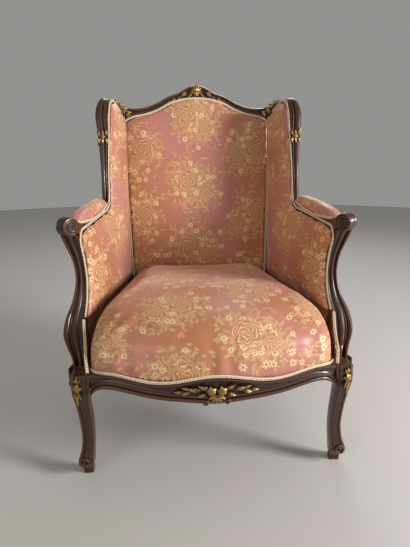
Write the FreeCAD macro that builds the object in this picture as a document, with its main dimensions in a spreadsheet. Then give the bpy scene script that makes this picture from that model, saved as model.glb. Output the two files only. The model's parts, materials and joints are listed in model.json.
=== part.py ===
import FreeCAD, Part
import math
import os

import Sketcher
from FreeCAD import Placement, Rotation, Vector

# Winged bergere armchair with a moulded show-wood frame and tight upholstery.
# Frame: millimetres, +Z up, +Y to the back, origin on the floor under the middle
# of the chair's footprint. Left and right are as seen from the front (left is -X).

doc = FreeCAD.newDocument("WingedBergere")
sheet = doc.addObject("Spreadsheet::Sheet", "Sizes")

SIZES = [
    # seat frame
    ("rail_top", 286, "height of the seat rails' top above the floor"),
    ("side_rail_height", 46, "side and rear rail height"),
    ("side_rail_thickness", 38, "side rail thickness"),
    ("rear_rail_thickness", 26, "rear rail thickness"),
    ("front_rail_thickness", 32, "front rail thickness behind its face"),
    ("rail_bow", 52.5, "how far the front rail bows forward of the legs"),
    ("apron_drop", 57, "depth of the front rail at its centre"),
    ("arch_drop", 30, "depth of the front rail at the arches beside the legs"),
    ("lobe_drop", 50, "depth of the front rail at its two lowest lobes"),
    ("rail_wave", 9, "rise and fall of the front rail's top edge"),
    ("lip_height", 9, "height of the moulded bead along the rail's lower edge"),
    ("lip_proud", 4, "how far that bead stands out"),
    # front legs
    ("leg_x", 317, "front leg centre from the middle plane"),
    ("leg_y", -292, "front leg centre"),
    ("leg_block", 44, "width of the leg's top block"),
    ("knee_width", 34, "leg width below the knee"),
    ("ankle_width", 27, "leg width at the ankle"),
    ("scroll_width", 38, "width of the scroll foot"),
    ("foot_width", 26, "width of the foot block"),
    ("ankle_in", 17, "how far the ankle sweeps back under the knee"),
    ("foot_back", 24, "how far the foot stands behind the top of the leg"),
    # sides
    ("side_front", 308, "side plane from the middle plane at the arm supports"),
    ("side_back", 236, "side plane from the middle plane at the back"),
    ("support_y", -157, "front of the arm support at its waist"),
    ("back_y", 222, "front of the back panel at seat rail height"),
    ("side_lean", 0.038, "outward lean of the sides, as a slope"),
    ("back_rake", 0.1635, "backward rake of the back, as a slope"),
    ("arm_rise", 330, "height of the arm scroll above the seat rail"),
    ("arm_sink", 28, "how far the arm's top lies under the scroll's top"),
    ("arm_slope", 0.12, "rise of the arm toward the wing, as a slope"),
    ("arm_width", 36, "arm rail width"),
    ("arm_height", 30, "arm rail height"),
    ("waist_width", 26, "arm support width at its waist"),
    ("bulge_width", 53, "arm support width at its bulge"),
    ("base_width", 33, "arm support width at its base"),
    ("scroll_size", 50, "arm scroll width"),
    ("support_depth", 36, "arm support depth"),
    # wings and back
    ("wing_y", 82, "front of the wing post where it leaves the arm"),
    ("wing_rise", 664, "height of the wing top above the seat rail"),
    ("wing_width", 28, "wing post width"),
    ("wing_depth", 30, "wing post depth"),
    ("back_rise", 606, "height of the rear post's top above the seat rail"),
    ("crest_rise", 100, "height of the crest's centre above the rear posts"),
    ("crest_band", 38, "crest rail height at its centre"),
    ("crest_thickness", 27, "crest rail thickness"),
    ("crest_rebate", 14, "how far the crest rail reaches down behind the back pad's edge"),
    ("post_width", 32, "rear post width"),
    ("post_depth", 30, "rear post depth"),
    ("post_strip", 14, "width of the rear post's moulded strip"),
    ("strip_proud", 8, "how far that strip stands out of the post"),
    ("rear_foot_back", 372, "back of the rear foot"),
    ("rear_foot_depth", 30, "rear foot depth"),
    # upholstery
    ("seat_crown", 146, "top of the seat above the rail"),
    ("pad_crown", 24, "crown of the side and back pads"),
    ("pad_radius", 3100, "crown radius of the side and back pads"),
    ("pad_bottom", 92, "lower edge of the side and back pads above the rail"),
    ("cloth", 2, "thickness of the covering cloth"),
    ("gap", 0.3, "clearance of soft pieces"),
    ("stuffing_rail_height", 34, "height of the rails beside the seat"),
    ("side_panel_depth", 14, "outside side panel's distance from the side plane"),
    ("gimp_width", 9, "gimp braid width"),
    ("gimp_thickness", 3, "gimp braid thickness"),
    ("reveal", 9, "wood left showing beside a pad"),
    ("arm_pad_height", 24, "arm pad height"),
    ("arm_pad_width", 50, "arm pad width"),
    ("web_width", 50, "webbing strap width"),
    ("web_thickness", 2, "webbing strap thickness"),
    ("spring_radius", 38, "seat spring radius"),
    ("spring_wire", 4, "seat spring wire thickness"),
    ("spring_height", 90, "seat spring height"),
    ("carving_relief", 9, "relief of the carvings"),
]

for row, (name, value, note) in enumerate(SIZES, start=1):
    sheet.set("A%d" % row, str(value))
    sheet.set("B%d" % row, note)
    sheet.setAlias("A%d" % row, name)
doc.recompute()
V = {name: float(getattr(sheet, name)) for name, value, note in SIZES}
parts = {}


def keep(name, obj):
    obj.Label = name
    parts[name] = obj
    return obj


def feature(name, shape):
    obj = doc.addObject("Part::Feature", name)
    obj.Shape = shape
    obj.Placement = shape.Placement
    return keep(name, obj)


def mirrored(name, source):
    obj = doc.addObject("Part::Mirroring", name)
    obj.Source = source
    obj.Base = Vector(0, 0, 0)
    obj.Normal = Vector(1, 0, 0)
    return keep(name, obj)


def pair(base, make):
    right = make(base + "_right")
    return right, mirrored(base + "_left", right)


# Straight timber: a sketched outline whose corners are bound to the sheet, padded.
def timber(name, plane, corners, start, length):
    body = doc.addObject("PartDesign::Body", name)
    sketch = body.newObject("Sketcher::SketchObject", name + "_outline")
    role = plane + "_Plane"
    origin = [f for f in body.Origin.OriginFeatures if f.Role == role][0]
    sketch.AttachmentSupport = [(origin, "")]
    sketch.MapMode = "FlatFace"
    sketch.setExpression("AttachmentOffset.Base.z", start)
    points = []
    for a, b in corners:
        points.append(Vector(float(sheet.evalExpression(a)), float(sheet.evalExpression(b)), 0))
    count = len(points)
    for i in range(count):
        sketch.addGeometry(Part.LineSegment(points[i], points[(i + 1) % count]))
    for i in range(count):
        sketch.addConstraint(Sketcher.Constraint("Coincident", i, 2, (i + 1) % count, 1))
    for i, (a, b) in enumerate(corners):
        k = sketch.addConstraint(Sketcher.Constraint("DistanceX", -1, 1, i, 1, points[i].x))
        sketch.setExpression("Constraints[%d]" % k, a)
        k = sketch.addConstraint(Sketcher.Constraint("DistanceY", -1, 1, i, 1, points[i].y))
        sketch.setExpression("Constraints[%d]" % k, b)
    pad = body.newObject("PartDesign::Pad", name + "_pad")
    pad.Profile = sketch
    pad.setExpression("Length", length)
    return keep(name, body)


# The skeleton: the side plane, the back plane and the front rail's curves.
SIDE_SLOPE = (V["side_back"] - V["side_front"]) / (V["back_y"] - V["support_y"])
SIDE = "(Sizes.side_front + (Sizes.side_back - Sizes.side_front)"
SIDE += " / (Sizes.back_y - Sizes.support_y) * (%s - Sizes.support_y))"


def side_x(y, z):
    return V["side_front"] + SIDE_SLOPE * (y - V["support_y"]) + V["side_lean"] * (z - V["rail_top"])


def back_at(z):
    return V["back_y"] + V["back_rake"] * (z - V["rail_top"])


def spline(points):
    curve = Part.BSplineCurve()
    curve.interpolate([Vector(*p) for p in points])
    return curve.toShape()


def curve_marks(points, count):
    curve = Part.BSplineCurve()
    curve.interpolate([Vector(*p) for p in points])
    first, last = curve.FirstParameter, curve.LastParameter
    return [curve.value(first + (last - first) * i / count) for i in range(count + 1)]


def chords(points, count):
    """The same curve as short straight cuts."""
    marks = curve_marks(points, count)
    return [Part.LineSegment(a, b).toShape() for a, b in zip(marks[:-1], marks[1:])]


def line(a, b):
    return Part.LineSegment(Vector(*a), Vector(*b)).toShape()


def face_of(edges):
    return Part.Face(Part.Wire(edges))


def polygon(points):
    return Part.makePolygon([Vector(*p) for p in points] + [Vector(*points[0])])


def corners(wire):
    return [v.Point for v in wire.OrderedVertexes]


def banded(wires):
    """A closed solid with flat cuts between matching corners of successive outlines."""
    rings = [corners(wire) for wire in wires]
    count = len(rings[0])
    faces = [Part.Face(wires[0]), Part.Face(wires[-1])]
    for low, high in zip(rings[:-1], rings[1:]):
        for i in range(count):
            k = (i + 1) % count
            faces.append(Part.Face(Part.makePolygon([low[i], low[k], high[k], low[i]])))
            faces.append(Part.Face(Part.makePolygon([low[i], high[k], high[i], low[i]])))
    shell = Part.Shell(faces)
    shell.sewShape()
    solid = Part.Solid(shell)
    if solid.Volume < 0:
        solid.reverse()
    return solid


# Moulded members: a profile carried along stations. A station is the front line's
# y and z, the turn of the member's axis from upright toward the back, its inner and
# outer x, and its depth behind the front line.
MOULDED = [
    (-0.5, 0.5), (0.5, 0.5), (0.5, -0.36), (0.4, -0.5), (0.24, -0.5),
    (0.15, -0.38), (-0.15, -0.38), (-0.24, -0.5), (-0.4, -0.5), (-0.5, -0.36),
]
PLAIN = [(-0.5, 0.5), (0.5, 0.5), (0.5, -0.3), (0.3, -0.5), (-0.3, -0.5), (-0.5, -0.3)]
LEG = [
    (-0.5, 0.34), (-0.34, 0.5), (0.34, 0.5), (0.5, 0.34), (0.5, -0.14), (0.41, -0.22),
    (0.5, -0.32), (0.34, -0.5), (0.22, -0.41), (0.14, -0.5), (-0.34, -0.5), (-0.5, -0.34),
]


def section(profile, station):
    y, z, turn, inner, outer, depth = station
    turn = math.radians(turn)
    front = Vector(0, -math.cos(turn), math.sin(turn))
    middle = 0.5 * (inner + outer)
    width = outer - inner
    points = []
    for a, b in profile:
        p = Vector(middle + a * width, y, z) - front * (depth * (b + 0.5))
        points.append((p.x, p.y, p.z))
    return polygon(points)


def between(rows, count):
    """Rows of numbers read off a smooth curve through the given rows."""
    knots = [0.0]
    for a, b in zip(rows[:-1], rows[1:]):
        knots.append(knots[-1] + math.dist(a, b))
    columns = []
    for column in zip(*rows):
        curve = Part.BSplineCurve()
        curve.interpolate([Vector(k, value, 0) for k, value in zip(knots, column)], Parameters=knots)
        columns.append(curve)
    steps = [knots[-1] * i / (count - 1.0) for i in range(count)]
    return [tuple(curve.value(k).y for curve in columns) for k in steps]


def member(profile, stations, bands=0):
    if bands:
        stations = between(stations, bands + 1)
    return banded([section(profile, s) for s in stations])


# Front legs: a block at the rail, a knee, a drawn-in ankle and a scroll foot.
def leg_station(z, width, out, back):
    x = V["leg_x"] + out
    y = V["leg_y"] + back
    return (y - width / 2, z, 0, x - width / 2, x + width / 2, width)


def front_leg(name):
    top = V["rail_top"]
    knee = V["knee_width"]
    ankle = V["ankle_width"]
    scroll = V["scroll_width"]
    foot = V["foot_width"]
    sweep = V["ankle_in"]
    back = V["foot_back"]
    stations = [
        leg_station(0, foot, 3, back),
        leg_station(top * 0.05, foot, 3, back),
        leg_station(top * 0.075, foot + 5, 4, back - 5),
        leg_station(top * 0.15, scroll, 5, back - 13),
        leg_station(top * 0.22, scroll - 4, 2, back - 12),
        leg_station(top * 0.29, ankle + 3, 0, sweep - 3),
        leg_station(top * 0.36, ankle, -1, sweep),
        leg_station(top * 0.5, ankle + 2, -2, sweep * 0.8),
        leg_station(top * 0.72, knee, -2, sweep * 0.3),
        leg_station(top * 0.88, V["leg_block"] - 4, 0, -2),
        leg_station(top * 0.95, V["leg_block"], 0, 0),
        leg_station(top, V["leg_block"], 0, 0),
    ]
    return feature(name, member(LEG, stations, 24))


pair("front_leg", front_leg)
LEG_INNER = V["leg_x"] - V["leg_block"] / 2
LEG_FRONT = V["leg_y"] - V["leg_block"] / 2


# Front rail: sawn to a bow in plan and to a serpentine in elevation.
def rail_face(x, inset=0.0):
    reach = min(1.0, abs(x) / LEG_INNER)
    return LEG_FRONT + 3 - V["rail_bow"] * math.cos(reach * math.pi / 2) + inset


def rail_top_at(x):
    reach = min(1.0, abs(x) / LEG_INNER)
    wave = math.cos(2 * math.pi * reach / 0.92)
    fade = 1 - reach ** 8
    return V["rail_top"] + V["rail_wave"] * (wave - 0.35) * fade


def rail_bottom_at(reach):
    steps = [
        (0.0, V["apron_drop"]),
        (0.1, V["apron_drop"] - 2),
        (0.22, V["lobe_drop"] + 1),
        (0.38, V["lobe_drop"]),
        (0.62, 0.5 * (V["lobe_drop"] + V["arch_drop"])),
        (0.85, V["arch_drop"]),
        (0.95, V["arch_drop"] + 9),
        (1.0, V["arch_drop"] + 24),
    ]
    return [(r * reach, V["rail_top"] - d) for r, d in steps]


def even(half, count):
    return [half * (2.0 * i / count - 1.0) for i in range(count + 1)]


RAIL_END = LEG_INNER - V["gap"]


def plan_band(half, inset, depth):
    front = [(x, rail_face(x, inset), 0) for x in even(half, 12)]
    back = [(x, rail_face(x, inset) + depth, 0) for x in even(half, 12)]
    edges = chords(front, 20) + [line(front[-1], back[-1])]
    edges += chords(back[::-1], 20) + [line(back[0], front[0])]
    return face_of(edges).extrude(Vector(0, 0, 2 * V["rail_top"]))


CHORDS = 20


def elevation(top, bottom, y_from, y_to):
    edges = chords([(x, y_from, z) for x, z in top], CHORDS)
    edges.append(line((top[-1][0], y_from, top[-1][1]), (bottom[-1][0], y_from, bottom[-1][1])))
    edges.extend(chords([(x, y_from, z) for x, z in bottom[::-1]], CHORDS))
    edges.append(line((bottom[0][0], y_from, bottom[0][1]), (top[0][0], y_from, top[0][1])))
    return face_of(edges).extrude(Vector(0, y_to - y_from, 0))


def both_sides(half_points):
    return [(-x, z) for x, z in half_points[:0:-1]] + half_points


RAIL_UNDER = both_sides(rail_bottom_at(RAIL_END))
RAIL_OVER = [(x, rail_top_at(x)) for x in even(RAIL_END, 12)]
FAR_FRONT = V["leg_y"] - 200
rail = plan_band(RAIL_END, 0, V["front_rail_thickness"])
rail = rail.common(elevation(RAIL_OVER, RAIL_UNDER, FAR_FRONT, 0))
lip_top = [(x, z + V["lip_height"]) for x, z in RAIL_UNDER]
lip = plan_band(RAIL_END, -V["lip_proud"], 2 * V["lip_proud"])
lip = lip.common(elevation(lip_top, RAIL_UNDER, FAR_FRONT, 0))
feature("front_seat_rail", rail.fuse(lip))

# Rear posts: leg and back stile sawn from one plank, with a moulded strip in front.
POST_OUT = V["side_back"] + V["post_width"] * 0.62
POST_IN = POST_OUT - V["post_width"]
STRIP_MID = V["side_back"] - V["post_strip"] * 0.1


def rear_post(name):
    top = V["rail_top"] + V["back_rise"]
    low = V["rail_top"]
    proud = V["strip_proud"]
    depth = V["post_depth"]
    foot = V["rear_foot_back"]
    lean = V["side_lean"]
    front = [
        (0, back_at(low) + proud, low - V["side_rail_height"] - 6),
        (0, back_at(low) + proud + 14, low * 0.6),
        (0, foot - V["rear_foot_depth"] - 34, low * 0.25),
        (0, foot - V["rear_foot_depth"], 0),
    ]
    rear = [
        (0, foot, 0),
        (0, foot - 32, low * 0.25),
        (0, back_at(low) + proud + depth + 18, low * 0.6),
        (0, back_at(low) + proud + depth + 1, low - V["side_rail_height"] - 6),
    ]
    top_front = (0, back_at(top) + proud, top)
    top_rear = (0, back_at(top) + proud + depth, top)
    bend_front = (0, back_at(low) + proud, low)
    bend_rear = (0, back_at(low) + proud + depth, low)
    edges = [
        line(top_front, bend_front), line(bend_front, front[0]), spline(front), line(front[-1], rear[0]),
        spline(rear), line(rear[-1], bend_rear), line(bend_rear, top_rear), line(top_rear, top_front),
    ]
    plank = face_of(edges).extrude(Vector(V["post_width"] * 3, 0, 0))
    plank.translate(Vector(POST_IN - V["post_width"], 0, 0))
    shift = lean * (top - low)
    outline = [
        (POST_IN + 4, -500, -1), (POST_OUT, -500, -1), (POST_OUT, -500, low),
        (POST_OUT + shift, -500, top + 1), (POST_IN + shift, -500, top + 1), (POST_IN, -500, low),
    ]
    view = Part.Face(polygon(outline)).extrude(Vector(0, 1200, 0))
    post = plank.common(view)
    strip_low = low + V["pad_bottom"]
    half = V["post_strip"] / 2
    strip = []
    for z, spread in ((strip_low, half), (top, half)):
        mid = STRIP_MID + lean * (z - low)
        y = back_at(z)
        strip.append(polygon([
            (mid - spread, y + proud, z), (mid + spread, y + proud, z),
            (mid + spread, y + 2, z), (mid, y, z), (mid - spread, y + 2, z),
        ]))
    strip = Part.makeLoft(strip, True, True)
    return feature(name, post.fuse(strip).removeSplitter())


def both(base):
    return [parts[base + side].Shape for side in ("_right", "_left")]


pair("rear_post", rear_post)
doc.recompute()
POSTS = both("rear_post")

# Rails and blocks of the seat frame.
RAIL_Z = "Sizes.rail_top - Sizes.side_rail_height"
LEG_BACK_X = "(Sizes.leg_y + Sizes.leg_block / 2 + Sizes.gap)"
POST_FACE = "(Sizes.back_y + Sizes.strip_proud - Sizes.gap)"


def side_seat_rail(name):
    half = "Sizes.side_rail_thickness / 2"
    corners = [
        (SIDE % LEG_BACK_X + " - " + half, LEG_BACK_X),
        ("Sizes.leg_x + Sizes.leg_block / 2", LEG_BACK_X),
        (SIDE % POST_FACE + " + " + half, POST_FACE),
        (SIDE % POST_FACE + " - " + half, POST_FACE),
    ]
    return timber(name, "XY", corners, RAIL_Z, "Sizes.side_rail_height")


pair("side_seat_rail", side_seat_rail)

POST_INNER = "(Sizes.side_back - Sizes.post_width * 0.38)"
REAR_RAIL = [
    ("-" + POST_INNER, "Sizes.back_y + Sizes.strip_proud"),
    (POST_INNER, "Sizes.back_y + Sizes.strip_proud"),
    (POST_INNER, "Sizes.back_y + Sizes.strip_proud + Sizes.rear_rail_thickness"),
    ("-" + POST_INNER, "Sizes.back_y + Sizes.strip_proud + Sizes.rear_rail_thickness"),
]
timber("rear_seat_rail", "XY", REAR_RAIL, RAIL_Z, "Sizes.side_rail_height")


def corner_block_front(name):
    y = "(Sizes.leg_y + Sizes.leg_block / 2 + Sizes.gap)"
    reach = "Sizes.leg_block"
    edge = SIDE % y + " - Sizes.side_rail_thickness / 2"
    far = SIDE % ("(" + y + " + " + reach + ")") + " - Sizes.side_rail_thickness / 2"
    corners = [(edge + " - " + reach, y), (edge, y), (far, y + " + " + reach)]
    return timber(name, "XY", corners, RAIL_Z + " + 8", "Sizes.side_rail_height - 16")


def corner_block_rear(name):
    y = "(Sizes.back_y + Sizes.strip_proud)"
    reach = "Sizes.leg_block"
    edge = SIDE % y + " - Sizes.side_rail_thickness / 2 - 1"
    far = SIDE % ("(" + y + " - " + reach + ")") + " - Sizes.side_rail_thickness / 2"
    corners = [(edge + " - " + reach, y), (far, y + " - " + reach), (edge, y)]
    return timber(name, "XY", corners, RAIL_Z + " + 8", "Sizes.side_rail_height - 16")


pair("front_corner_block", corner_block_front)
pair("rear_corner_block", corner_block_rear)


# Arm supports: set back on the side rails, bulging out, drawn in at the waist and
# flaring to the arm's scroll.
def arm_support(name):
    low = V["rail_top"]
    rise = V["arm_rise"] - V["scroll_size"] / 2 + 4
    waist_y = V["support_y"]
    depth = V["support_depth"]
    steps = [
        (0.0, -118, 24, V["base_width"], 52),
        (0.07, -112, 23, V["base_width"] + 3, 46),
        (0.14, -92, 17, V["base_width"] + 14, 30),
        (0.21, -66, 8, V["bulge_width"] + 1, 14),
        (0.31, -42, 0, V["bulge_width"] - 6, 5),
        (0.44, -17, 0, V["waist_width"] + 9, 1),
        (0.62, 0, 0, V["waist_width"], 0),
        (0.78, -3, 0, V["waist_width"] + 2, 0),
        (0.91, -15, 0, V["waist_width"] + 10, 2),
        (1.0, -27, 0, V["scroll_size"] - 10, 5),
    ]
    stations = []
    for share, forward, inward, width, thicker in steps:
        z = low + rise * share
        y = waist_y + forward
        inner = side_x(y, z) - inward
        stations.append((y, z, 0, inner, inner + width, depth + thicker))
    return feature(name, member(MOULDED, stations, 20))


pair("arm_support", arm_support)


# Arm rails: from the scroll back to the rear post, along the side plane.
ARM_Z = V["rail_top"] + V["arm_rise"]
ARM_FRONT = V["support_y"] - 26
SUPPORT_TOP = ARM_Z - V["scroll_size"] / 2 + 4


def arm_top(y):
    return ARM_Z + V["scroll_size"] / 2 - V["arm_sink"] + V["arm_slope"] * (y - ARM_FRONT)


def arm_rail(name):
    stations = []
    end = back_at(arm_top(V["back_y"])) + V["strip_proud"] - V["gap"]
    turn = 90 - math.degrees(math.atan(V["arm_slope"]))
    for y, wide in ((ARM_FRONT + 14, 4), (V["wing_y"] + 4, 0), (end - 3, -4)):
        inner = side_x(y, arm_top(y)) + V["gap"]
        stations.append((y, arm_top(y), turn, inner, inner + V["arm_width"] + wide, V["arm_height"]))
    shape = member(PLAIN, stations)
    radius = V["scroll_size"] / 2 - 2
    axis = Vector(-0.72, -0.69, 0)
    middle = Vector(side_x(ARM_FRONT, ARM_Z) + radius - 3, ARM_FRONT + 6, SUPPORT_TOP + radius - 2)
    start = middle - axis * (V["support_depth"] * 0.5)
    volute = Part.makeCylinder(radius, V["support_depth"], start, axis)
    eye = Part.makeCone(radius * 0.6, radius * 0.42, 4, middle + axis * (V["support_depth"] * 0.5), axis)
    shape = shape.fuse([volute, eye])
    floor = Part.makeBox(400, 600, 400, Vector(100, -400, SUPPORT_TOP - 400))
    return feature(name, shape.cut([floor, POSTS[0]]))


pair("arm_rail", arm_rail)


# Wing posts rise from the arm, sweep back and turn over into the wing's top rail.
WING_TOP = V["rail_top"] + V["wing_rise"]


def wing_station(share, y, turn, flare, wide=0.0):
    base = arm_top(V["wing_y"])
    z = base + (WING_TOP - base) * share
    inner = side_x(V["wing_y"] + 40, V["rail_top"]) + flare
    outer = inner + V["wing_width"] + wide
    inner = max(inner, side_x(V["wing_y"] + y + V["reveal"], z) + V["gap"])
    return (V["wing_y"] + y, z, turn, inner, outer, V["wing_depth"])


WING_BEND = (1.0, 128, 78, 14.0, 0.0)


WING_STEPS = [
    (-0.012, -5, 5, 17, 3), (0.0, -3, 5, 16, 2), (0.12, 3, 8, 13, 0), (0.3, 14, 12, 13, 0),
    (0.48, 31, 14, 16, 0), (0.68, 51, 14, 20, 2), (0.84, 66, 20, 23, 4), (0.94, 82, 38, 20, 2),
    (0.985, 100, 60, 17, 0), WING_BEND,
]


def wing_post(name):
    stations = [wing_station(*s) for s in WING_STEPS]
    return feature(name, member(MOULDED, stations, 20).cut(parts["arm_rail_right"].Shape))


pair("wing_post", wing_post)

POST_TOP = V["rail_top"] + V["back_rise"]


def wing_top_rail(name):
    start = wing_station(*WING_BEND)
    end_y = back_at(POST_TOP) + V["strip_proud"]
    inner = side_x(end_y, POST_TOP) - 4
    halfway = 0.5 * (start[3] + inner)
    steps = [
        start,
        (end_y - 66, WING_TOP - 7, 96, halfway + 2, 0.5 * (start[4] + inner) + 15, V["wing_depth"]),
        (end_y - 26, WING_TOP - 16, 92, inner + 3, inner + V["wing_width"], V["wing_depth"] + 2),
        (end_y - V["gap"], WING_TOP - 18, 90, inner, inner + V["wing_width"] - 3, V["wing_depth"] + 6),
    ]
    return feature(name, member(MOULDED, steps, 8).cut([parts["crest_rail"].Shape, POSTS[0]]))


# Crest rail: an arched, dipped top edge sawn from a raked plank.
def crest_edge(rise_rows, extra):
    half = POST_OUT + V["side_lean"] * V["back_rise"] - extra
    points = []
    for share, rise in rise_rows:
        points.append((half * share, POST_TOP + V["crest_rise"] * rise))
    return both_sides(points)


CREST_TOP = [
    (0.0, 1.12), (0.1, 1.06), (0.2, 0.9), (0.34, 0.76), (0.46, 0.58), (0.6, 0.43), (0.76, 0.385),
    (0.88, 0.42), (1.0, 0.44),
]
def raked(y_front, y_back, z_low, z_high):
    low = [(-600, back_at(z_low) + y_front, z_low), (-600, back_at(z_low) + y_back, z_low)]
    high = [(-600, back_at(z_high) + y_back, z_high), (-600, back_at(z_high) + y_front, z_high)]
    return Part.Face(polygon(low + high)).extrude(Vector(1200, 0, 0))


def crest_lower():
    top_mid = POST_TOP + V["crest_rise"] * 1.12 - V["crest_band"]
    half = POST_IN + V["side_lean"] * V["back_rise"]
    span = top_mid - POST_TOP
    rows = [(0, 1.0), (0.18, 0.95), (0.36, 0.78), (0.52, 0.5), (0.7, 0.3), (0.86, 0.2), (1.0, 0.0)]
    return both_sides([(half * s, POST_TOP + span * r) for s, r in rows])


CREST_UPPER = crest_edge(CREST_TOP, 0)
CREST_UNDER = crest_lower()


def outline_edges(top, bottom, y):
    a = [(x, y, z) for x, z in top]
    b = [(x, y, z) for x, z in bottom]
    edges = chords(a, CHORDS)
    corner_right = (a[-1][0], y, b[-1][2])
    corner_left = (a[0][0], y, b[0][2])
    edges.append(line(a[-1], corner_right))
    edges.append(line(corner_right, b[-1]))
    edges.extend(chords(b[::-1], CHORDS))
    edges.append(line(b[0], corner_left))
    edges.append(line(corner_left, a[0]))
    return edges


proud = V["strip_proud"]
rebate = [(x, z - V["crest_rebate"]) for x, z in CREST_UNDER]
crest_plate = face_of(outline_edges(CREST_UPPER, rebate, 0)).extrude(Vector(0, 600, 0))
crest = crest_plate.common(raked(proud, proud + V["crest_thickness"], POST_TOP - 20, POST_TOP + 200))
band = [(x, z - 11) for x, z in CREST_UPPER]
crest_lip = elevation(CREST_UPPER, band, 0, 600)
crest_lip = crest_lip.common(raked(0, proud + 1, POST_TOP - 5, POST_TOP + 200))
under_band = [(x, z + 9) for x, z in CREST_UNDER]
under_lip = elevation(under_band, CREST_UNDER, 0, 600)
under_lip = under_lip.common(raked(2, proud + 1, POST_TOP - 5, POST_TOP + 200))
feature("crest_rail", crest.fuse([crest_lip, under_lip]).cut(POSTS))
pair("wing_top_rail", wing_top_rail)

# Lower back rail and the stuffing rails beside the seat.
low_z = V["rail_top"] + V["pad_bottom"] + 6
depth_from = proud + 2
low_rail = raked(depth_from, depth_from + V["rear_rail_thickness"] - 4, low_z, low_z + 44)
span = Part.makeBox(2 * POST_OUT, 900, 900, Vector(-POST_OUT, 0, 0))
low_rail = low_rail.common(span).cut(POSTS)
feature("back_bottom_rail", max(low_rail.Solids, key=lambda solid: solid.Volume))

STUFF_Z = V["rail_top"] + V["pad_bottom"] + 4


def arm_stuffing_rail(name):
    z = STUFF_Z
    start = V["support_y"] + V["support_depth"] - 14
    end = back_at(z) + proud - V["gap"]
    high = z + V["stuffing_rail_height"]
    thick = V["side_panel_depth"] - V["cloth"] - 3 * V["gap"]
    sections = []
    for y in (start, end):
        inner = side_x(y, z) + V["gap"]
        lean = side_x(y, high) + V["gap"]
        sections.append(polygon([
            (inner, y, z), (inner + thick, y, z), (lean + thick, y, high), (lean, y, high),
        ]))
    return feature(name, Part.makeLoft(sections, True, True).cut(POSTS[0]))


pair("arm_stuffing_rail", arm_stuffing_rail)


# Pads: an outline cut to a large sphere for the crown, standing on a flat plane.
def lens(centre, normal, crown, radius, keep_out, size):
    normal = normal.normalize()
    ball = Part.makeSphere(radius, centre - normal * (radius - crown))
    slab = Part.makeBox(2 * size, 2 * size, crown * 3 + 40, Vector(-size, -size, keep_out))
    slab.Placement = Placement(centre, Rotation(Vector(0, 0, 1), normal))
    return ball.common(slab)


def inset_wire(edges, amount):
    wire = Part.Wire(edges)
    if abs(amount) < 1e-6:
        return wire
    return wire.makeOffset2D(amount, 2, False, False)


SIDE_NORMAL = Vector(-1, SIDE_SLOPE, V["side_lean"])
PAD_Z = V["rail_top"] + V["pad_bottom"]
SIDE_MID_Y = V["wing_y"] - 16
SIDE_MID_Z = V["rail_top"] + V["arm_rise"]


def side_outline():
    reveal = V["reveal"]
    low = PAD_Z
    wing = V["wing_y"]
    arm = arm_top(ARM_FRONT + 40) - reveal - 2
    base = V["support_y"]
    rise = V["arm_rise"]
    rail = V["rail_top"]
    front = [
        (0, base - 45 + reveal, low),
        (0, base - 17 + reveal, rail + rise * 0.41),
        (0, base + reveal, rail + rise * 0.58),
        (0, base + reveal - 3, rail + rise * 0.74),
        (0, base + reveal - 16, arm),
    ]
    corner = (0, wing - 10, arm_top(wing) - reveal - 2)
    rise_edge = []
    for share, y, turn, flare, wide in WING_STEPS[1:]:
        station = wing_station(share, y, turn, flare, wide)
        lean_in = math.radians(turn)
        step = reveal + 2
        rise_edge.append((0, station[0] + step * math.cos(lean_in), station[1] - step * math.sin(lean_in)))
    back_top = (0, back_at(POST_TOP - 18) - 6, POST_TOP + 8)
    back_low = (0, back_at(low) - 6, low)
    edges = chords(front, 6) + [line(front[-1], corner), line(corner, rise_edge[0])]
    edges += chords(rise_edge, 12)
    return edges + [line(rise_edge[-1], back_top), line(back_top, back_low), line(back_low, front[0])]


def side_pad(inset, crown_drop, stand):
    wire = inset_wire(side_outline(), -inset)
    block = Part.Face(wire).extrude(Vector(500, 0, 0))
    centre = Vector(side_x(SIDE_MID_Y, SIDE_MID_Z), SIDE_MID_Y, SIDE_MID_Z)
    crown = V["pad_crown"] - crown_drop
    return block.common(lens(centre, Vector(SIDE_NORMAL), crown, V["pad_radius"], stand, 600))


skin = V["cloth"] + V["gap"]
side_outer = side_pad(0, 0, V["gap"])
side_hollow = side_pad(V["cloth"], V["cloth"], -5)
side_core = side_pad(skin, skin, V["gap"])


SIDE_NAMES = ("wing_post", "wing_top_rail", "arm_rail", "arm_stuffing_rail")
SIDE_WOOD = [parts[name + "_right"].Shape for name in SIDE_NAMES]


def inside_side_cover(name):
    return feature(name, side_outer.cut([side_hollow] + SIDE_WOOD))


def side_stuffing(name):
    return feature(name, side_core.cut(SIDE_WOOD))


def side_gimp(name):
    wide = V["gap"] + V["gimp_width"] * 0.8
    outer = Part.Face(inset_wire(side_outline(), wide)).extrude(Vector(500, 0, 0))
    inner = Part.Face(inset_wire(side_outline(), V["gap"])).extrude(Vector(500, 0, 0))
    centre = Vector(side_x(SIDE_MID_Y, SIDE_MID_Z), SIDE_MID_Y, SIDE_MID_Z)
    slab = Part.makeBox(1200, 1200, V["gimp_thickness"], Vector(-600, -600, V["gap"]))
    slab.Placement = Placement(centre, Rotation(Vector(0, 0, 1), Vector(SIDE_NORMAL)))
    ring = outer.cut(inner).common(slab)
    floor = Part.makeBox(600, 900, 200, Vector(0, -450, PAD_Z - 180))
    back = raked(-16, 60, V["rail_top"], POST_TOP + 60)
    return feature(name, ring.cut([floor, back] + SIDE_WOOD))


pair("inside_side_cover", inside_side_cover)
pair("side_stuffing", side_stuffing)
pair("side_gimp", side_gimp)


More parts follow.
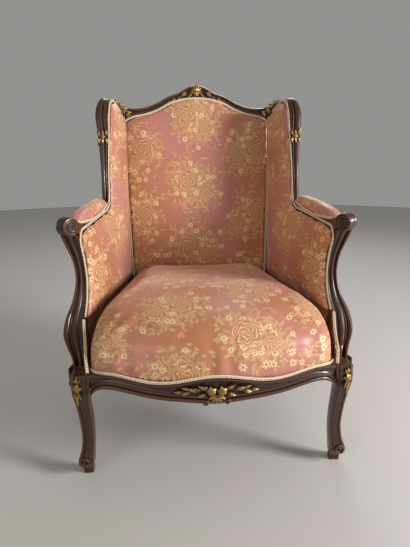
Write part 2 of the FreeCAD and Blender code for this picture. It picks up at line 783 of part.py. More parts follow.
def outside_side_cover(name):
    wing = V["wing_y"]
    low = V["rail_top"] + V["gap"]
    depth = V["support_depth"]
    front_low = V["support_y"] - 70 + depth + 9
    under = ARM_Z - V["arm_height"] * 0.5
    outline = [
        (0, front_low, low), (0, front_low + 26, low + 90),
        (0, V["support_y"] + depth + 2, low + 170),
        (0, V["support_y"] + depth + 2, under - 22), (0, wing + 52, under - 22 + V["arm_slope"] * 150),
        (0, back_at(under) + proud - 1, under - 22 + V["arm_slope"] * 250),
        (0, back_at(low) + proud - 1, low),
    ]
    block = Part.Face(polygon(outline)).extrude(Vector(500, 0, 0))
    centre = Vector(side_x(SIDE_MID_Y, SIDE_MID_Z), SIDE_MID_Y, SIDE_MID_Z)
    slab = Part.makeBox(1200, 1200, V["cloth"], Vector(-600, -600, -V["side_panel_depth"]))
    slab.Placement = Placement(centre, Rotation(Vector(0, 0, 1), Vector(SIDE_NORMAL)))
    panel = block.common(slab)
    frame_wood = [parts["arm_support_right"].Shape, parts["arm_rail_right"].Shape, POSTS[0]]
    return feature(name, panel.cut(frame_wood))


pair("outside_side_cover", outside_side_cover)


# Back pad between the rear posts' strips, under the crest.
def back_outline():
    half_low = STRIP_MID - V["post_strip"] / 2 - V["reveal"]
    lean = V["side_lean"]
    low = PAD_Z
    high = POST_TOP - 6
    half_high = half_low + lean * (high - V["rail_top"])
    half_base = half_low + lean * (low - V["rail_top"])
    top = []
    for x, z in CREST_UNDER:
        top.append((x * half_high / CREST_UNDER[-1][0], 0, z - V["reveal"] - 1))
    return chords(top, 16) + [
        line(top[-1], (half_base, 0, low)),
        line((half_base, 0, low), (-half_base, 0, low)), line((-half_base, 0, low), top[0]),
    ]


BACK_NORMAL = Vector(0, -1, V["back_rake"])
back_mid = PAD_Z + 0.52 * (POST_TOP - PAD_Z)
BACK_CENTRE = Vector(0, back_at(back_mid), back_mid)


def back_pad(inset, crown_drop, stand):
    wire = inset_wire(back_outline(), -inset)
    block = Part.Face(wire).extrude(Vector(0, 700, 0))
    crown = V["pad_crown"] - crown_drop
    return block.common(lens(BACK_CENTRE, Vector(BACK_NORMAL), crown, V["pad_radius"] * 0.85, stand, 600))


side_env = side_pad(-V["gap"], -V["gap"], -30)
mirror_env = side_env.mirror(Vector(0, 0, 0), Vector(1, 0, 0))
web_stand = V["web_thickness"] + 2 * V["gap"] - proud
back_outer = back_pad(0, 0, web_stand)
back_hollow = back_pad(V["cloth"], V["cloth"], web_stand - 6)
feature("inside_back_cover", back_outer.cut([back_hollow, side_env, mirror_env]))
feature("back_stuffing", back_pad(skin, skin, web_stand).cut([side_env, mirror_env]))

ring = Part.Face(inset_wire(back_outline(), V["gap"] + V["gimp_width"] * 0.8))
ring = ring.cut(Part.Face(inset_wire(back_outline(), V["gap"]))).extrude(Vector(0, 700, 0))
doc.recompute()
ring = ring.common(raked(-1, -1 + V["gimp_thickness"], PAD_Z, POST_TOP + 200))
ring = ring.cut(both("arm_rail") + both("side_gimp") + both("inside_side_cover") + both("side_stuffing") + POSTS)
feature("back_gimp", ring)


# Webbing: crossed straps in two touching layers.
def strap(x0, x1, z0, z1, y0, y1):
    return raked(y0, y1, z0, z1).common(Part.makeBox(x1 - x0, 900, 2000, Vector(x0, 0, 0)))


straps = []
half_web = V["web_width"] / 2
post_face = proud - V["gap"]
for k in (-1.5, -0.5, 0.5, 1.5):
    x = k * V["web_width"] * 1.9
    straps.append(strap(x - half_web, x + half_web, low_z, POST_TOP - 4, post_face - 1, post_face))
for k in range(5):
    z = low_z + 20 + k * (POST_TOP - low_z - 90) / 4
    straps.append(strap(-POST_IN - 6, POST_IN + 6, z, z + V["web_width"], post_face - 2, post_face - 1))
feature("back_webbing", straps[0].fuse(straps[1:]))

# Outside back: a tight panel over the rear faces of the posts.
rear_face = proud + V["post_depth"] + V["gap"]
outside = raked(rear_face, rear_face + V["cloth"], V["rail_top"], POST_TOP - 4)
wide = POST_OUT - 3
outside = outside.common(Part.makeBox(2 * wide, 900, 2000, Vector(-wide, 0, 0)))
feature("outside_back_cover", outside)


# Seat: stuffing over springs, with a serpentine front edge, drawn-in sides and crown.
def seat_outline(z, front_inset, side_inset, back_inset):
    corner = V["leg_block"] * 0.6
    half = LEG_INNER + 3
    side_y = LEG_FRONT + corner + front_inset
    points = [(x, rail_face(x, 2 + front_inset), z) for x in even(half - corner - front_inset, 8)]
    right_top = (LEG_INNER + 3 - side_inset, side_y + 10, z)
    back_y = V["back_y"] - 2 - back_inset
    back_x = side_x(back_y, V["rail_top"]) - 9 - side_inset
    mid_x = 0.5 * (points[-1][0] + right_top[0]) + corner * 0.2
    mid_y = 0.5 * (points[-1][1] + right_top[1]) - corner * 0.2
    mid = (mid_x, mid_y, z)
    waist_y = right_top[1] + 0.22 * (back_y - right_top[1])
    waist_x = side_x(waist_y, V["rail_top"]) - 9 - side_inset
    outline = [right_top, (waist_x, waist_y, z), (back_x, back_y, z)]
    outline += [(-x, y, z) for x, y, z in outline[::-1]]
    left_mid = (-mid[0], mid[1], z)
    round_right = Part.Arc(Vector(*points[-1]), Vector(*mid), Vector(*right_top)).toShape()
    round_left = Part.Arc(Vector(*outline[-1]), Vector(*left_mid), Vector(*points[0])).toShape()
    ring = curve_marks(points, 10)[:-1]
    ring += round_right.discretize(4)[:-1]
    ring += [Vector(*p) for p in outline[:-1]]
    ring += round_left.discretize(4)
    return Part.makePolygon(ring)


def seat_body(inset):
    low = V["rail_top"]
    crown = V["seat_crown"]
    levels = [
        (-20, 2, 0, 0), (12, 0, 0, 0), (40, -2, -1, 0), (60, 1, 0, 0), (78, 10, 2, 0), (92, 24, 5, 0),
        (104, 44, 10, 1), (116, 74, 16, 3), (127, 114, 27, 6), (136, 158, 50, 18), (142, 194, 92, 50),
        (146.5, 236, 160, 116),
    ]
    wires = []
    for rise, front_in, side_in, back_in in levels:
        z = low + rise * crown / levels[-1][0] - (inset if rise > 100 else 0)
        wires.append(seat_outline(z, front_in + inset, side_in + inset, back_in + inset))
    body = banded(wires)
    under_front = [(x, rail_top_at(x) + V["gap"]) for x in even(LEG_INNER + 40, 16)]
    deep = [(x, low - 60) for x, z in under_front]
    front_cut = elevation(under_front, deep, FAR_FRONT, V["leg_y"] + 10)
    rear_cut = Part.makeBox(900, 900, 100, Vector(-450, V["leg_y"] + 9.9, low + V["gap"] - 100))
    return body.cut([front_cut, rear_cut])


back_env = back_pad(-V["gap"], -V["gap"], -30)
envelopes = [side_env, mirror_env, back_env]
seat_outer = seat_body(0).cut(envelopes)
cavity_x = V["side_back"] - V["side_rail_thickness"] - 10
cavity_front = LEG_FRONT + V["front_rail_thickness"] + 14
cavity_back = V["back_y"] - 24
spring_base = V["rail_top"] - V["side_rail_height"] + V["gap"]
canvas_z = spring_base + V["spring_height"] + 2 * V["gap"]
cavity_top = canvas_z + 1.5 + V["gap"]
cavity = Part.makeBox(
    2 * cavity_x, cavity_back - cavity_front, cavity_top - V["rail_top"] + 60,
    Vector(-cavity_x, cavity_front, V["rail_top"] - 60),
)
rail_clear = parts["front_seat_rail"].Shape.copy()
rail_clear.translate(Vector(0, 0, V["gap"]))
seat_inner = seat_body(V["cloth"])
seat_core = seat_body(skin).cut(envelopes).cut([cavity, rail_clear])
feature("seat_stuffing", seat_core)
feature("seat_cover", seat_outer.cut([seat_inner, rail_clear]))

canvas = Part.makeBox(2 * cavity_x - 0.6, cavity_back - cavity_front - 0.6, 1.5)
canvas.translate(Vector(-cavity_x + 0.3, cavity_front + 0.3, canvas_z))
feature("spring_canvas", canvas)

# Seat webbing tacked under the rails, nine coil springs standing on it.
web_low = V["rail_top"] - V["side_rail_height"]
seat_straps = []
web_layer = V["web_thickness"] / 2
web_front = LEG_FRONT + V["front_rail_thickness"] + 6
web_back = V["back_y"] + proud + V["rear_rail_thickness"] - 6
for k in range(5):
    x = (k - 2) * V["web_width"] * 1.75
    place = Vector(x - half_web, web_front, web_low - web_layer)
    seat_straps.append(Part.makeBox(V["web_width"], web_back - web_front, web_layer, place))
for k in range(5):
    y = web_front + 24 + k * (web_back - web_front - 90) / 4
    reach = side_x(y + V["web_width"], V["rail_top"]) + 4
    place = Vector(-reach, y, web_low - 2 * web_layer)
    seat_straps.append(Part.makeBox(2 * reach, V["web_width"], web_layer, place))
feature("seat_webbing", seat_straps[0].fuse(seat_straps[1:]).cut(POSTS))


def spring(x, y):
    turns = 3
    steps = 5
    wire = V["spring_wire"]
    base = web_low + V["gap"] + wire / 2
    rise = V["spring_height"] - wire
    wires = []
    for i in range(turns * steps + 1):
        share = i / float(turns * steps)
        angle = 2 * math.pi * i / steps
        radius = V["spring_radius"] * (1 - 0.3 * math.sin(math.pi * share))
        z = base + rise * share
        square = []
        for dr, dz in ((-1, -1), (1, -1), (1, 1), (-1, 1)):
            r = radius + dr * wire / 2
            square.append((x + r * math.cos(angle), y + r * math.sin(angle), z + dz * wire / 2))
        wires.append(polygon(square))
    return banded(wires)


spring_pitch = V["spring_radius"] * 3.2
coils = []
for i in (-1, 0, 1):
    for j in (-1, 0, 1):
        coils.append(spring(i * spring_pitch, j * spring_pitch - 45))
feature("seat_springs", Part.makeCompound(coils))

dust = Part.makeBox(2 * (side_x(0, web_low) + 6), web_back - web_front, 1)
dust.translate(Vector(-side_x(0, web_low) - 6, web_front, web_low - V["web_thickness"] - 1 - V["gap"]))
side_trim = []
for sign in (-1, 1):
    a = sign * (side_x(web_front, V["rail_top"]) + 8)
    b = sign * (side_x(web_back, V["rail_top"]) + 8)
    far = sign * 500
    waste = polygon([(a, web_front, 0), (b, web_back, 0), (far, web_back, 0), (far, web_front, 0)])
    side_trim.append(Part.Face(waste).extrude(Vector(0, 0, 400)))
feature("dust_cover", dust.cut(side_trim + POSTS))

# Gimp braid along the seat's lower front edge, on the rail.
gimp_top = [(x, rail_top_at(x) + V["gap"] + V["gimp_width"]) for x in even(LEG_INNER + 14, 16)]
gimp_low = [(x, rail_top_at(x) + V["gap"]) for x in even(LEG_INNER + 14, 16)]
gimp_band = elevation(gimp_top, gimp_low, FAR_FRONT, V["support_y"] - 74)
grown = Part.Face(seat_outline(V["rail_top"] - 20, *[-V["gap"] - V["gimp_thickness"]] * 3))
kept = Part.Face(seat_outline(V["rail_top"] - 20, *[-V["gap"]] * 3))
gimp_ring = grown.cut(kept).extrude(Vector(0, 0, 60))
feature("seat_gimp", gimp_ring.common(gimp_band).cut(rail_clear))


# Arm pads: a stuffed roll on each arm, drawn in at both ends.
def pad_section(y, grow, wide, high):
    turn = math.atan(V["arm_slope"])
    base = Vector(side_x(y, arm_top(y)) + V["gap"] + V["arm_width"] / 2 + 1, y, arm_top(y) + V["gap"])
    up = Vector(0, -math.sin(turn), math.cos(turn))
    side = Vector(1, 0, 0)
    half = V["arm_pad_width"] / 2 * wide - grow
    height = V["arm_pad_height"] * high - grow
    points = []
    for k in range(7):
        angle = math.pi * k / 6
        p = base + side * (half * math.cos(angle)) + up * (height * math.sin(angle) ** 0.7)
        points.append((p.x, p.y, p.z))
    return polygon(points)


PAD_FROM = ARM_FRONT + 38
PAD_TO = V["wing_y"] - 16


PAD_STEPS = [
    (0.0, 0.72, 0.45), (0.06, 0.9, 0.78), (0.2, 1.0, 1.0), (0.5, 0.97, 1.05), (0.8, 0.92, 1.0),
    (0.94, 0.8, 0.8), (1.0, 0.6, 0.45),
]


def pad_roll(grow):
    steps = between(PAD_STEPS, 8)
    wires = []
    for share, wide, high in steps:
        y = PAD_FROM + (PAD_TO - PAD_FROM) * share
        y += grow * (1 - 2 * share)
        wires.append(pad_section(y, grow, wide, high))
    return banded(wires)


pad_outer = pad_roll(0)
pad_inner = pad_roll(V["cloth"])
pad_core = pad_roll(skin)


def arm_pad_cover(name):
    return feature(name, pad_outer.cut(pad_inner))


def arm_pad(name):
    return feature(name, pad_core)


def arm_pad_gimp(name):
    shapes = []
    for grow in (-V["gap"] - V["gimp_thickness"], -V["gap"]):
        wires = []
        for share, wide, high in between(PAD_STEPS, 8):
            y = PAD_FROM + (PAD_TO - PAD_FROM) * share + grow * (1 - 2 * share)
            half = V["arm_pad_width"] / 2 * wide - grow
            x = side_x(y, arm_top(y)) + V["gap"] + V["arm_width"] / 2 + 1
            z = arm_top(y) + V["gap"]
            lift = V["gimp_width"] * 0.7
            wires.append(polygon([
                (x - half, y, z), (x + half, y, z), (x + half, y, z + lift), (x - half, y, z + lift),
            ]))
        shapes.append(banded(wires))
    return feature(name, shapes[0].cut([shapes[1], pad_outer, parts["arm_rail_right"].Shape]))


pair("arm_pad", arm_pad)
pair("arm_pad_cover", arm_pad_cover)
pair("arm_pad_gimp", arm_pad_gimp)


# Carvings: leaves with a raised midrib and petalled roses, glued to the frame.
def placed(shape, at, normal, turn):
    shape = shape.copy()
    flat = Placement(Vector(), Rotation(Vector(0, 0, 1), turn))
    stand = Placement(at, Rotation(Vector(1, 0, 0), Vector(0, 0, 1), normal, "ZXY"))
    shape.Placement = stand.multiply(flat)
    return shape


def solid_of(points, faces):
    shells = []
    for face in faces:
        shells.append(Part.Face(polygon([points[i] for i in face])))
    solid = Part.Solid(Part.Shell(shells))
    if solid.Volume < 0:
        solid = Part.Solid(Part.Shell(shells).reversed())
    return solid


def leaf(length, width, relief):
    half = width / 2
    sink = -1.0
    points = [
        (0, -half * 0.5, sink), (length * 0.45, -half, sink), (length, 0, sink), (length * 0.45, half, sink),
        (0, half * 0.5, sink), (0, 0, relief * 0.6), (length * 0.5, 0, relief), (length, 0, relief * 0.2),
    ]
    faces = [
        (4, 3, 2, 1, 0), (0, 1, 6), (0, 6, 5), (1, 2, 7), (1, 7, 6), (2, 3, 7), (3, 6, 7), (3, 4, 5),
        (3, 5, 6), (4, 0, 5),
    ]
    return solid_of(points, faces)


def rose(radius, relief):
    """Five rounded petals about a raised heart, turned up as a stack of star outlines."""
    rings = []
    steps = [(1.0, -1.0, 0.8), (0.92, relief * 0.7, 0.62), (0.5, relief * 0.55, 0.4), (0.3, relief * 1.2, 0.26)]
    for reach, height, notch in steps:
        points = []
        for k in range(10):
            angle = math.pi / 5 * k
            r = radius * (reach if k % 2 == 0 else notch)
            points.append((r * math.cos(angle), r * math.sin(angle), height))
        rings.append(polygon(points))
    return banded(rings)


def on_crest(x, drop, out=0.0):
    z = CREST_EDGE(x) - drop
    return Vector(x, back_at(z) - out, z)


def sampled(points):
    def at(x):
        for (x0, z0), (x1, z1) in zip(points[:-1], points[1:]):
            if x0 <= x <= x1:
                return z0 + (z1 - z0) * (x - x0) / (x1 - x0)
        return points[-1][1]
    return at


CREST_EDGE = sampled(CREST_UPPER)
FORWARD = Vector(0, -1, V["back_rake"])
FORWARD.normalize()
relief = V["carving_relief"]


def carved(name, pieces, grounds):
    """Leaves and roses joined in one piece and fitted to the faces they are glued to."""
    whole = pieces[0].fuse(pieces[1:]).cut(grounds)
    return feature(name, max(whole.Solids, key=lambda solid: solid.Volume))


def crest_carving(name):
    pieces = []
    seat_z = CREST_EDGE(0) - 24
    root = Vector(0, back_at(seat_z), seat_z)
    for k in range(-2, 3):
        pieces.append(placed(leaf(27 - abs(k), 14, relief), root, FORWARD, 90 - 38 * k))
    pieces.append(placed(rose(12, relief), root + Vector(0, 0, -3), FORWARD, 0))
    for sign in (-1, 1):
        for x, drop, length, turn in ((16, 22, 30, -24), (42, 18, 28, -36), (66, 15, 26, -40)):
            at = on_crest(x, drop)
            at.x = sign * at.x
            angle = turn if sign > 0 else 180 - turn
            pieces.append(placed(leaf(length, 14, relief * 0.8), at, FORWARD, angle))
    return carved(name, pieces, [parts["crest_rail"].Shape, parts["back_gimp"].Shape])


crest_carving("crest_carving")


def corner_carving(name):
    x = CREST_UPPER[-1][0] * 0.9
    at = on_crest(x, 18)
    pieces = [placed(leaf(20, 10, relief * 0.8), at, FORWARD, a) for a in (-10, 40, 90, 140, 190, 240)]
    return carved(name, pieces, [parts["crest_rail"].Shape, parts["wing_top_rail_right"].Shape])


pair("corner_carving", corner_carving)


def apron_carving(name):
    pieces = []
    z = V["rail_top"] - V["apron_drop"] * 0.45
    front = Vector(0, -1, 0)
    for sign in (-1, 1):
        pieces.append(placed(rose(13, relief), Vector(sign * 12, rail_face(12), z), front, 0))
        for x, dz, length, turn in ((22, 2, 32, 8), (50, 0, 30, -10), (78, -3, 26, -6)):
            angle = turn if sign > 0 else 180 - turn
            at = Vector(sign * x, rail_face(x + 6), z + dz)
            pieces.append(placed(leaf(length, 15, relief * 0.8), at, front, angle))
    for a in (-150, -120, -90, -60, -30):
        pieces.append(placed(leaf(22, 11, relief * 0.8), Vector(0, rail_face(0), z - 8), front, a))
    return carved(name, pieces, [parts["front_seat_rail"].Shape])


apron_carving("apron_carving")


def knee_carving(name):
    y = V["leg_y"] - V["leg_block"] / 2 + 1
    z = V["rail_top"] - 34
    front = Vector(0, -1, 0)
    at = Vector(V["leg_x"] + 2, y, z)
    pieces = [placed(rose(14, relief), at, front, 30)]
    for dx, dz, length, turn in ((0, -6, 30, -90), (-2, -4, 22, -125), (2, -4, 22, -55), (0, 6, 18, 90)):
        pieces.append(placed(leaf(length, 12, relief * 0.8), at + Vector(dx, 0, dz), front, turn))
    return carved(name, pieces, [parts["front_leg_right"].Shape])


pair("knee_carving", knee_carving)


def wing_carving(name):
    station = wing_station(0.62, 45, 14, 19, 1)
    tilt = math.radians(station[2])
    front = Vector(0, -math.cos(tilt), math.sin(tilt))
    at = Vector(0.5 * (station[3] + station[4]), station[0], station[1])
    pieces = [placed(leaf(22, 11, relief * 0.8), at, front, a) for a in (60, 90, 120, -60, -90, -120)]
    return carved(name, pieces, [parts["wing_post_right"].Shape])


pair("wing_carving", wing_carving)

doc.recompute()
for obj in doc.Objects:
    if "Invalid" in obj.State or "Error" in obj.State:
        raise RuntimeError("failed object: " + obj.Label)
for name, obj in parts.items():
    shape = obj.Shape
    if shape.isNull() or not shape.isValid():
        raise RuntimeError("bad shape: " + name)
    if shape.Volume <= 0 or not shape.Solids:
        raise RuntimeError("no solid: " + name)

os.makedirs("parts", exist_ok=True)
for name, obj in parts.items():
    obj.Shape.exportStep(os.path.join("parts", name + ".step"))
print(len(parts), "nodes")
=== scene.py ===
# %% [markdown]
# # A winged bergere armchair
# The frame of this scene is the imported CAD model: every solid is already in its place, in metres,
# with the chair's front towards -Y. This file dresses it: moulded walnut, gilt carving, tight
# stuffed pads in a rose brocade, and a woven gimp braid along every nailed edge.

# %% Load the fixed frame
import bmesh
import bpy
import json
import math
import numpy as np
from mathutils import Matrix, Vector

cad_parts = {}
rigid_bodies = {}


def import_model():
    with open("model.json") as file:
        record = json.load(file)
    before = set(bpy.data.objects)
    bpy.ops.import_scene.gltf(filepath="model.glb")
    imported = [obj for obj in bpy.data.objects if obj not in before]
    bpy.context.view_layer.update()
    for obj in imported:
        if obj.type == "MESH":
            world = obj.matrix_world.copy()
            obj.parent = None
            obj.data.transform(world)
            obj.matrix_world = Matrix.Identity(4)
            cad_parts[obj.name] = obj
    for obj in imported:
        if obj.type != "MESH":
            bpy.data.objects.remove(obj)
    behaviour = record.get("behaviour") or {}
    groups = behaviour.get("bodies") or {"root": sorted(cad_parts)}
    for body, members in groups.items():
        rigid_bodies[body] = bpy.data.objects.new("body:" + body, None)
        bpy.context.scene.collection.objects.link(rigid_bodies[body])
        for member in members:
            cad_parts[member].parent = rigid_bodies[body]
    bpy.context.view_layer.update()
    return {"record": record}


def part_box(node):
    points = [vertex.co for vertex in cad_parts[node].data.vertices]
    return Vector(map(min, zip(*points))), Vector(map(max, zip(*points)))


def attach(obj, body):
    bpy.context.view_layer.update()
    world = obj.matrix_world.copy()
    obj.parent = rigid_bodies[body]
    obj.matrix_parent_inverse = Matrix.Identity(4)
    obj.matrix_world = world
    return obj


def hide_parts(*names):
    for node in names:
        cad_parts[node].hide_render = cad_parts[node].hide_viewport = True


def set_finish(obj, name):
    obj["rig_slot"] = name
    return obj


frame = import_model()
MM = 0.001

# %% [markdown]
# ## The skeleton
# Every piece of such a chair is set out from a few lines: the leaning side plane, the raked back,
# and the bowed, waved front rail. The same named sizes give both the solids and these pieces, so
# a piece is placed by the frame and never by eye.

# %% Sizes in millimetres
RAIL = 286
LEG_X, LEG_Y, LEG_BLOCK = 317, -292, 44
LEG_INNER = LEG_X - LEG_BLOCK / 2
LEG_FACE = LEG_Y - LEG_BLOCK / 2
BOW = 52.5
SIDE_FRONT, SIDE_BACK, SUPPORT_Y, BACK_Y = 308, 236, -157, 222
SIDE_SLOPE = (SIDE_BACK - SIDE_FRONT) / (BACK_Y - SUPPORT_Y)
LEAN, RAKE = 0.038, 0.1635
POST_RISE, ARM_RISE, WING_RISE = 606, 330, 664
WING_Y, WING_TOP = 82, RAIL + WING_RISE
POST_TOP = RAIL + POST_RISE
POST_WIDE, POST_DEPTH, POST_BEHIND = 32, 30, 8
ARM_Z, ARM_FRONT = RAIL + ARM_RISE, SUPPORT_Y - 26
SCROLL = 50
SUPPORT_TALL = ARM_RISE - SCROLL / 2 + 4
PAD_LOW = RAIL + 92
STRIP_HALF = 7
GAP = 0.3


def side_x(y, z):
    return SIDE_FRONT + SIDE_SLOPE * (y - SUPPORT_Y) + LEAN * (z - RAIL)


def back_at(z):
    return BACK_Y + RAKE * (z - RAIL)


def arm_top(y):
    return ARM_Z + SCROLL / 2 - 28 + 0.12 * (y - ARM_FRONT)


def rail_face(x):
    return LEG_FACE + 3 - BOW * math.cos(min(1.0, abs(x) / LEG_INNER) * math.pi / 2)


def rail_top(x):
    reach = min(1.0, abs(x) / LEG_INNER)
    return RAIL + 9 * (math.cos(2 * math.pi * reach / 0.92) - 0.35) * (1 - reach ** 8)


def run_along(points):
    """The distance along a line of points, at each of them."""
    return np.concatenate([[0], np.cumsum(np.linalg.norm(np.diff(points, axis=0), axis=1))])


def read_off(knots, points, steps):
    """The points that lie at the given distances along a line."""
    return np.array([[np.interp(s, knots, values) for values in points.T] for s in steps])


def height_at(line, x):
    """The height of a drawn line at x."""
    return float(np.interp(x, *zip(*line)))


def smooth_rows(rows, count):
    """Rows of numbers read off a smooth curve through the given rows."""
    rows = np.array(rows, dtype=float)
    knots = run_along(rows)
    slopes = np.gradient(rows, knots, axis=0)
    out = []
    for k in np.linspace(0, knots[-1], count):
        i = min(int(np.searchsorted(knots, k, side="right")) - 1, len(knots) - 2)
        h = knots[i + 1] - knots[i]
        t = (k - knots[i]) / h
        a = (2 * t ** 3 - 3 * t ** 2 + 1) * rows[i] + (t ** 3 - 2 * t ** 2 + t) * h * slopes[i]
        b = (-2 * t ** 3 + 3 * t ** 2) * rows[i + 1] + (t ** 3 - t ** 2) * h * slopes[i + 1]
        out.append(tuple(a + b))
    return out


print("side plane leans", LEAN, "and closes in by", round(-SIDE_SLOPE, 3))

# %% [markdown]
# ## Camera
# The photograph was taken by someone standing close in front of the chair, a little to its left,
# and looking down on it. A long-side sensor of 36 mm and this lens give the same steep perspective.

# %% Camera at the photograph's angle
SENSOR, PICTURE_HIGH, FOCAL_PIXELS = 36, 547, 467.30
YAW, PITCH, ROLL = -0.072213, -0.256518, 0.007478
camera = bpy.data.objects.new("camera", bpy.data.cameras.new("camera"))
bpy.context.scene.collection.objects.link(camera)
bpy.context.scene.camera = camera
camera.data.sensor_width = SENSOR
camera.data.lens = FOCAL_PIXELS * SENSOR / PICTURE_HIGH
camera.location = (-0.09486, -1.32382, 0.79192)
turn = Matrix.Rotation(YAW, 3, "Z") @ Matrix.Rotation(PITCH, 3, "X") @ Matrix.Rotation(ROLL, 3, "Y")
camera.rotation_euler = (turn @ Matrix.Rotation(math.pi / 2, 3, "X")).to_euler()
print("lens", round(camera.data.lens, 2), "mm")

# %% [markdown]
# ## Helpers for modelling
# Most of the frame is sawn and moulded bars. Each is modelled as a joiner would think of it: draw
# the end section, then carry it along. A circle is added, its outline is set to the section, and
# the outline is extruded ring after ring. The unwrapped length and girth go into a UV map, so that
# the grain can run along every bend.


# %% Object helpers
def calm():
    """Leaves edit mode and deselects everything, since an operator acts on all that is selected."""
    if bpy.context.object and bpy.context.object.mode != "OBJECT":
        bpy.ops.object.mode_set(mode="OBJECT")
    bpy.ops.object.select_all(action="DESELECT")


def hold(*pieces):
    """Selects these pieces alone. The first one is active."""
    calm()
    for piece in pieces:
        piece.select_set(True)
    bpy.context.view_layer.objects.active = pieces[0]


def finish_piece(piece, name, smooth=35):
    """Names the piece, bakes its place into its mesh, points its faces outward and smooths it."""
    piece.name = piece.data.name = name
    hold(piece)
    bpy.ops.object.transform_apply(location=True, rotation=True, scale=True)
    bpy.ops.object.mode_set(mode="EDIT")
    bpy.ops.mesh.select_all(action="SELECT")
    bpy.ops.mesh.normals_make_consistent(inside=False)
    bpy.ops.object.mode_set(mode="OBJECT")
    bpy.ops.object.shade_smooth_by_angle(angle=math.radians(smooth))
    return piece


def apply_modifier(piece, kind, **settings):
    hold(piece)
    modifier = piece.modifiers.new(kind.lower(), kind)
    for key, value in settings.items():
        setattr(modifier, key, value)
    bpy.ops.object.modifier_apply(modifier=modifier.name)


def joined(name, pieces, smooth=40):
    hold(*pieces)
    bpy.ops.object.join()
    return finish_piece(bpy.context.object, name, smooth)


def swept(name, rings, smooth=35):
    """A closed bar through rings of points in millimetres, with its length and girth as a UV map."""
    calm()
    bpy.ops.mesh.primitive_circle_add(vertices=len(rings[0]), radius=MM, fill_type="NGON")
    bar = bpy.context.object
    bpy.ops.object.mode_set(mode="EDIT")
    mesh = bmesh.from_edit_mesh(bar.data)
    mesh.verts.ensure_lookup_table()
    ring = [v.index for v in mesh.verts]
    order = [ring]
    for v, p in zip(mesh.verts, rings[0]):
        v.co = Vector(p) * MM
    for points in rings[1:]:
        bpy.ops.mesh.extrude_region_move()
        mesh = bmesh.from_edit_mesh(bar.data)
        mesh.verts.ensure_lookup_table()
        fresh = []
        for index in ring:
            for edge in mesh.verts[index].link_edges:
                other = edge.other_vert(mesh.verts[index])
                if other.select and other.index not in ring:
                    fresh.append(other.index)
        for index, p in zip(fresh, points):
            mesh.verts[index].co = Vector(p) * MM
        ring = fresh
        order.append(ring)
    bmesh.update_edit_mesh(bar.data)
    bpy.ops.object.mode_set(mode="OBJECT")
    lay_uv(bar, order, rings)
    return finish_piece(bar, name, smooth)


def lay_uv(bar, order, rings):
    along = run_along([np.mean(ring, axis=0) for ring in rings]) * MM
    around = run_along(rings[len(rings) // 2]) * MM
    place = {}
    for v, ring in zip(along, order):
        for u, index in zip(around, ring):
            place[index] = (u, v)
    layer = bar.data.uv_layers.new(name="girth")
    for loop in bar.data.loops:
        layer.data[loop.index].uv = place[loop.vertex_index]


def mirrored(piece):
    """The left side's copy of a right-hand piece, with its own mesh."""
    copy = piece.copy()
    copy.data = piece.data.copy()
    bpy.context.scene.collection.objects.link(copy)
    copy.scale.x = -1
    return finish_piece(copy, piece.name.replace("_right", "_left"))


def dress(piece, slot, *nodes, paired=False):
    """Gives a piece its body, its material slot and the CAD nodes that it stands for. A paired piece
    is first copied to the left, and its nodes are named without their ends. Returns the pieces."""
    sides = [(piece, "_right"), (mirrored(piece), "_left")] if paired else [(piece, "")]
    for each, end in sides:
        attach(each, "root")
        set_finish(each, slot)
        if nodes:
            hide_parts(*[node + end for node in nodes])
    return [each for each, end in sides]


print("helpers ready")

# %% [markdown]
# ## Moulded sections
# The show-wood has a bead at each edge, a hollow beside it and a flat, slightly raised field
# between. A section is a list of points: the first number runs across the bar's width, the second
# from its front (-0.5) to its back (0.5).


# %% Sections
def bead_section(beads, field, fine=5):
    """A front with round beads, each given as centre, half width and height, over a lower field."""
    points = [(-0.5, 0.5), (0.5, 0.5), (0.5, -0.3)]
    for centre, half, height in beads:
        points.append((centre + half * 1.15, field))
        for k in range(fine):
            angle = math.pi * k / (fine - 1)
            points.append((centre + half * math.cos(angle), field - height * math.sin(angle) ** 0.8))
        points.append((centre - half * 1.15, field))
    return points + [(-0.5, -0.3)]


SHOW_BEADS = [(0.36, 0.12, 0.17), (0.16, 0.035, 0.06), (-0.04, 0.14, 0.13), (-0.42, 0.06, 0.06)]
SHOW = bead_section(SHOW_BEADS, -0.33, fine=7)
WINGED = bead_section([(0.18, 0.28, 0.19), (-0.28, 0.08, 0.15)], -0.31, fine=9)
TURNED = [(0.5 * math.cos(math.pi * k / 8), 0.5 * math.sin(math.pi * k / 8)) for k in range(16)]


def section(profile, station):
    """A profile set at a station: front y, z, turn in degrees, inner x, outer x and depth."""
    y, z, turn, inner, outer, depth = station
    turn = math.radians(turn)
    front = np.array((0, -math.cos(turn), math.sin(turn)))
    points = []
    for a, b in profile:
        base = np.array((0.5 * (inner + outer) + a * (outer - inner), y, z))
        points.append(tuple(base - front * depth * (b + 0.5)))
    return points


def bar(name, profile, stations, count):
    return swept(name, [section(profile, s) for s in smooth_rows(stations, count)])


print("section points", len(SHOW))

# %% [markdown]
# ## Cloth pads
# Tight upholstery is stuffing under a cloth that is pulled down and nailed at its edge, so each pad
# rises steeply at the nails and then swells softly. A pad is drawn as its flat outline, filled with
# smaller and smaller copies of it, and raised by how far each point lies from the nailed edge.
# A short cloth simulation with a little air pressure then pulls it as real cloth is pulled.


# %% Outlines and pads
def even_ring(points, count):
    """A closed outline as evenly spaced points, starting at the first one."""
    points = np.array(points, dtype=float)
    closed = np.vstack([points, points[:1]])
    knots = run_along(closed)
    return read_off(knots, closed, np.linspace(0, knots[-1], count, endpoint=False))


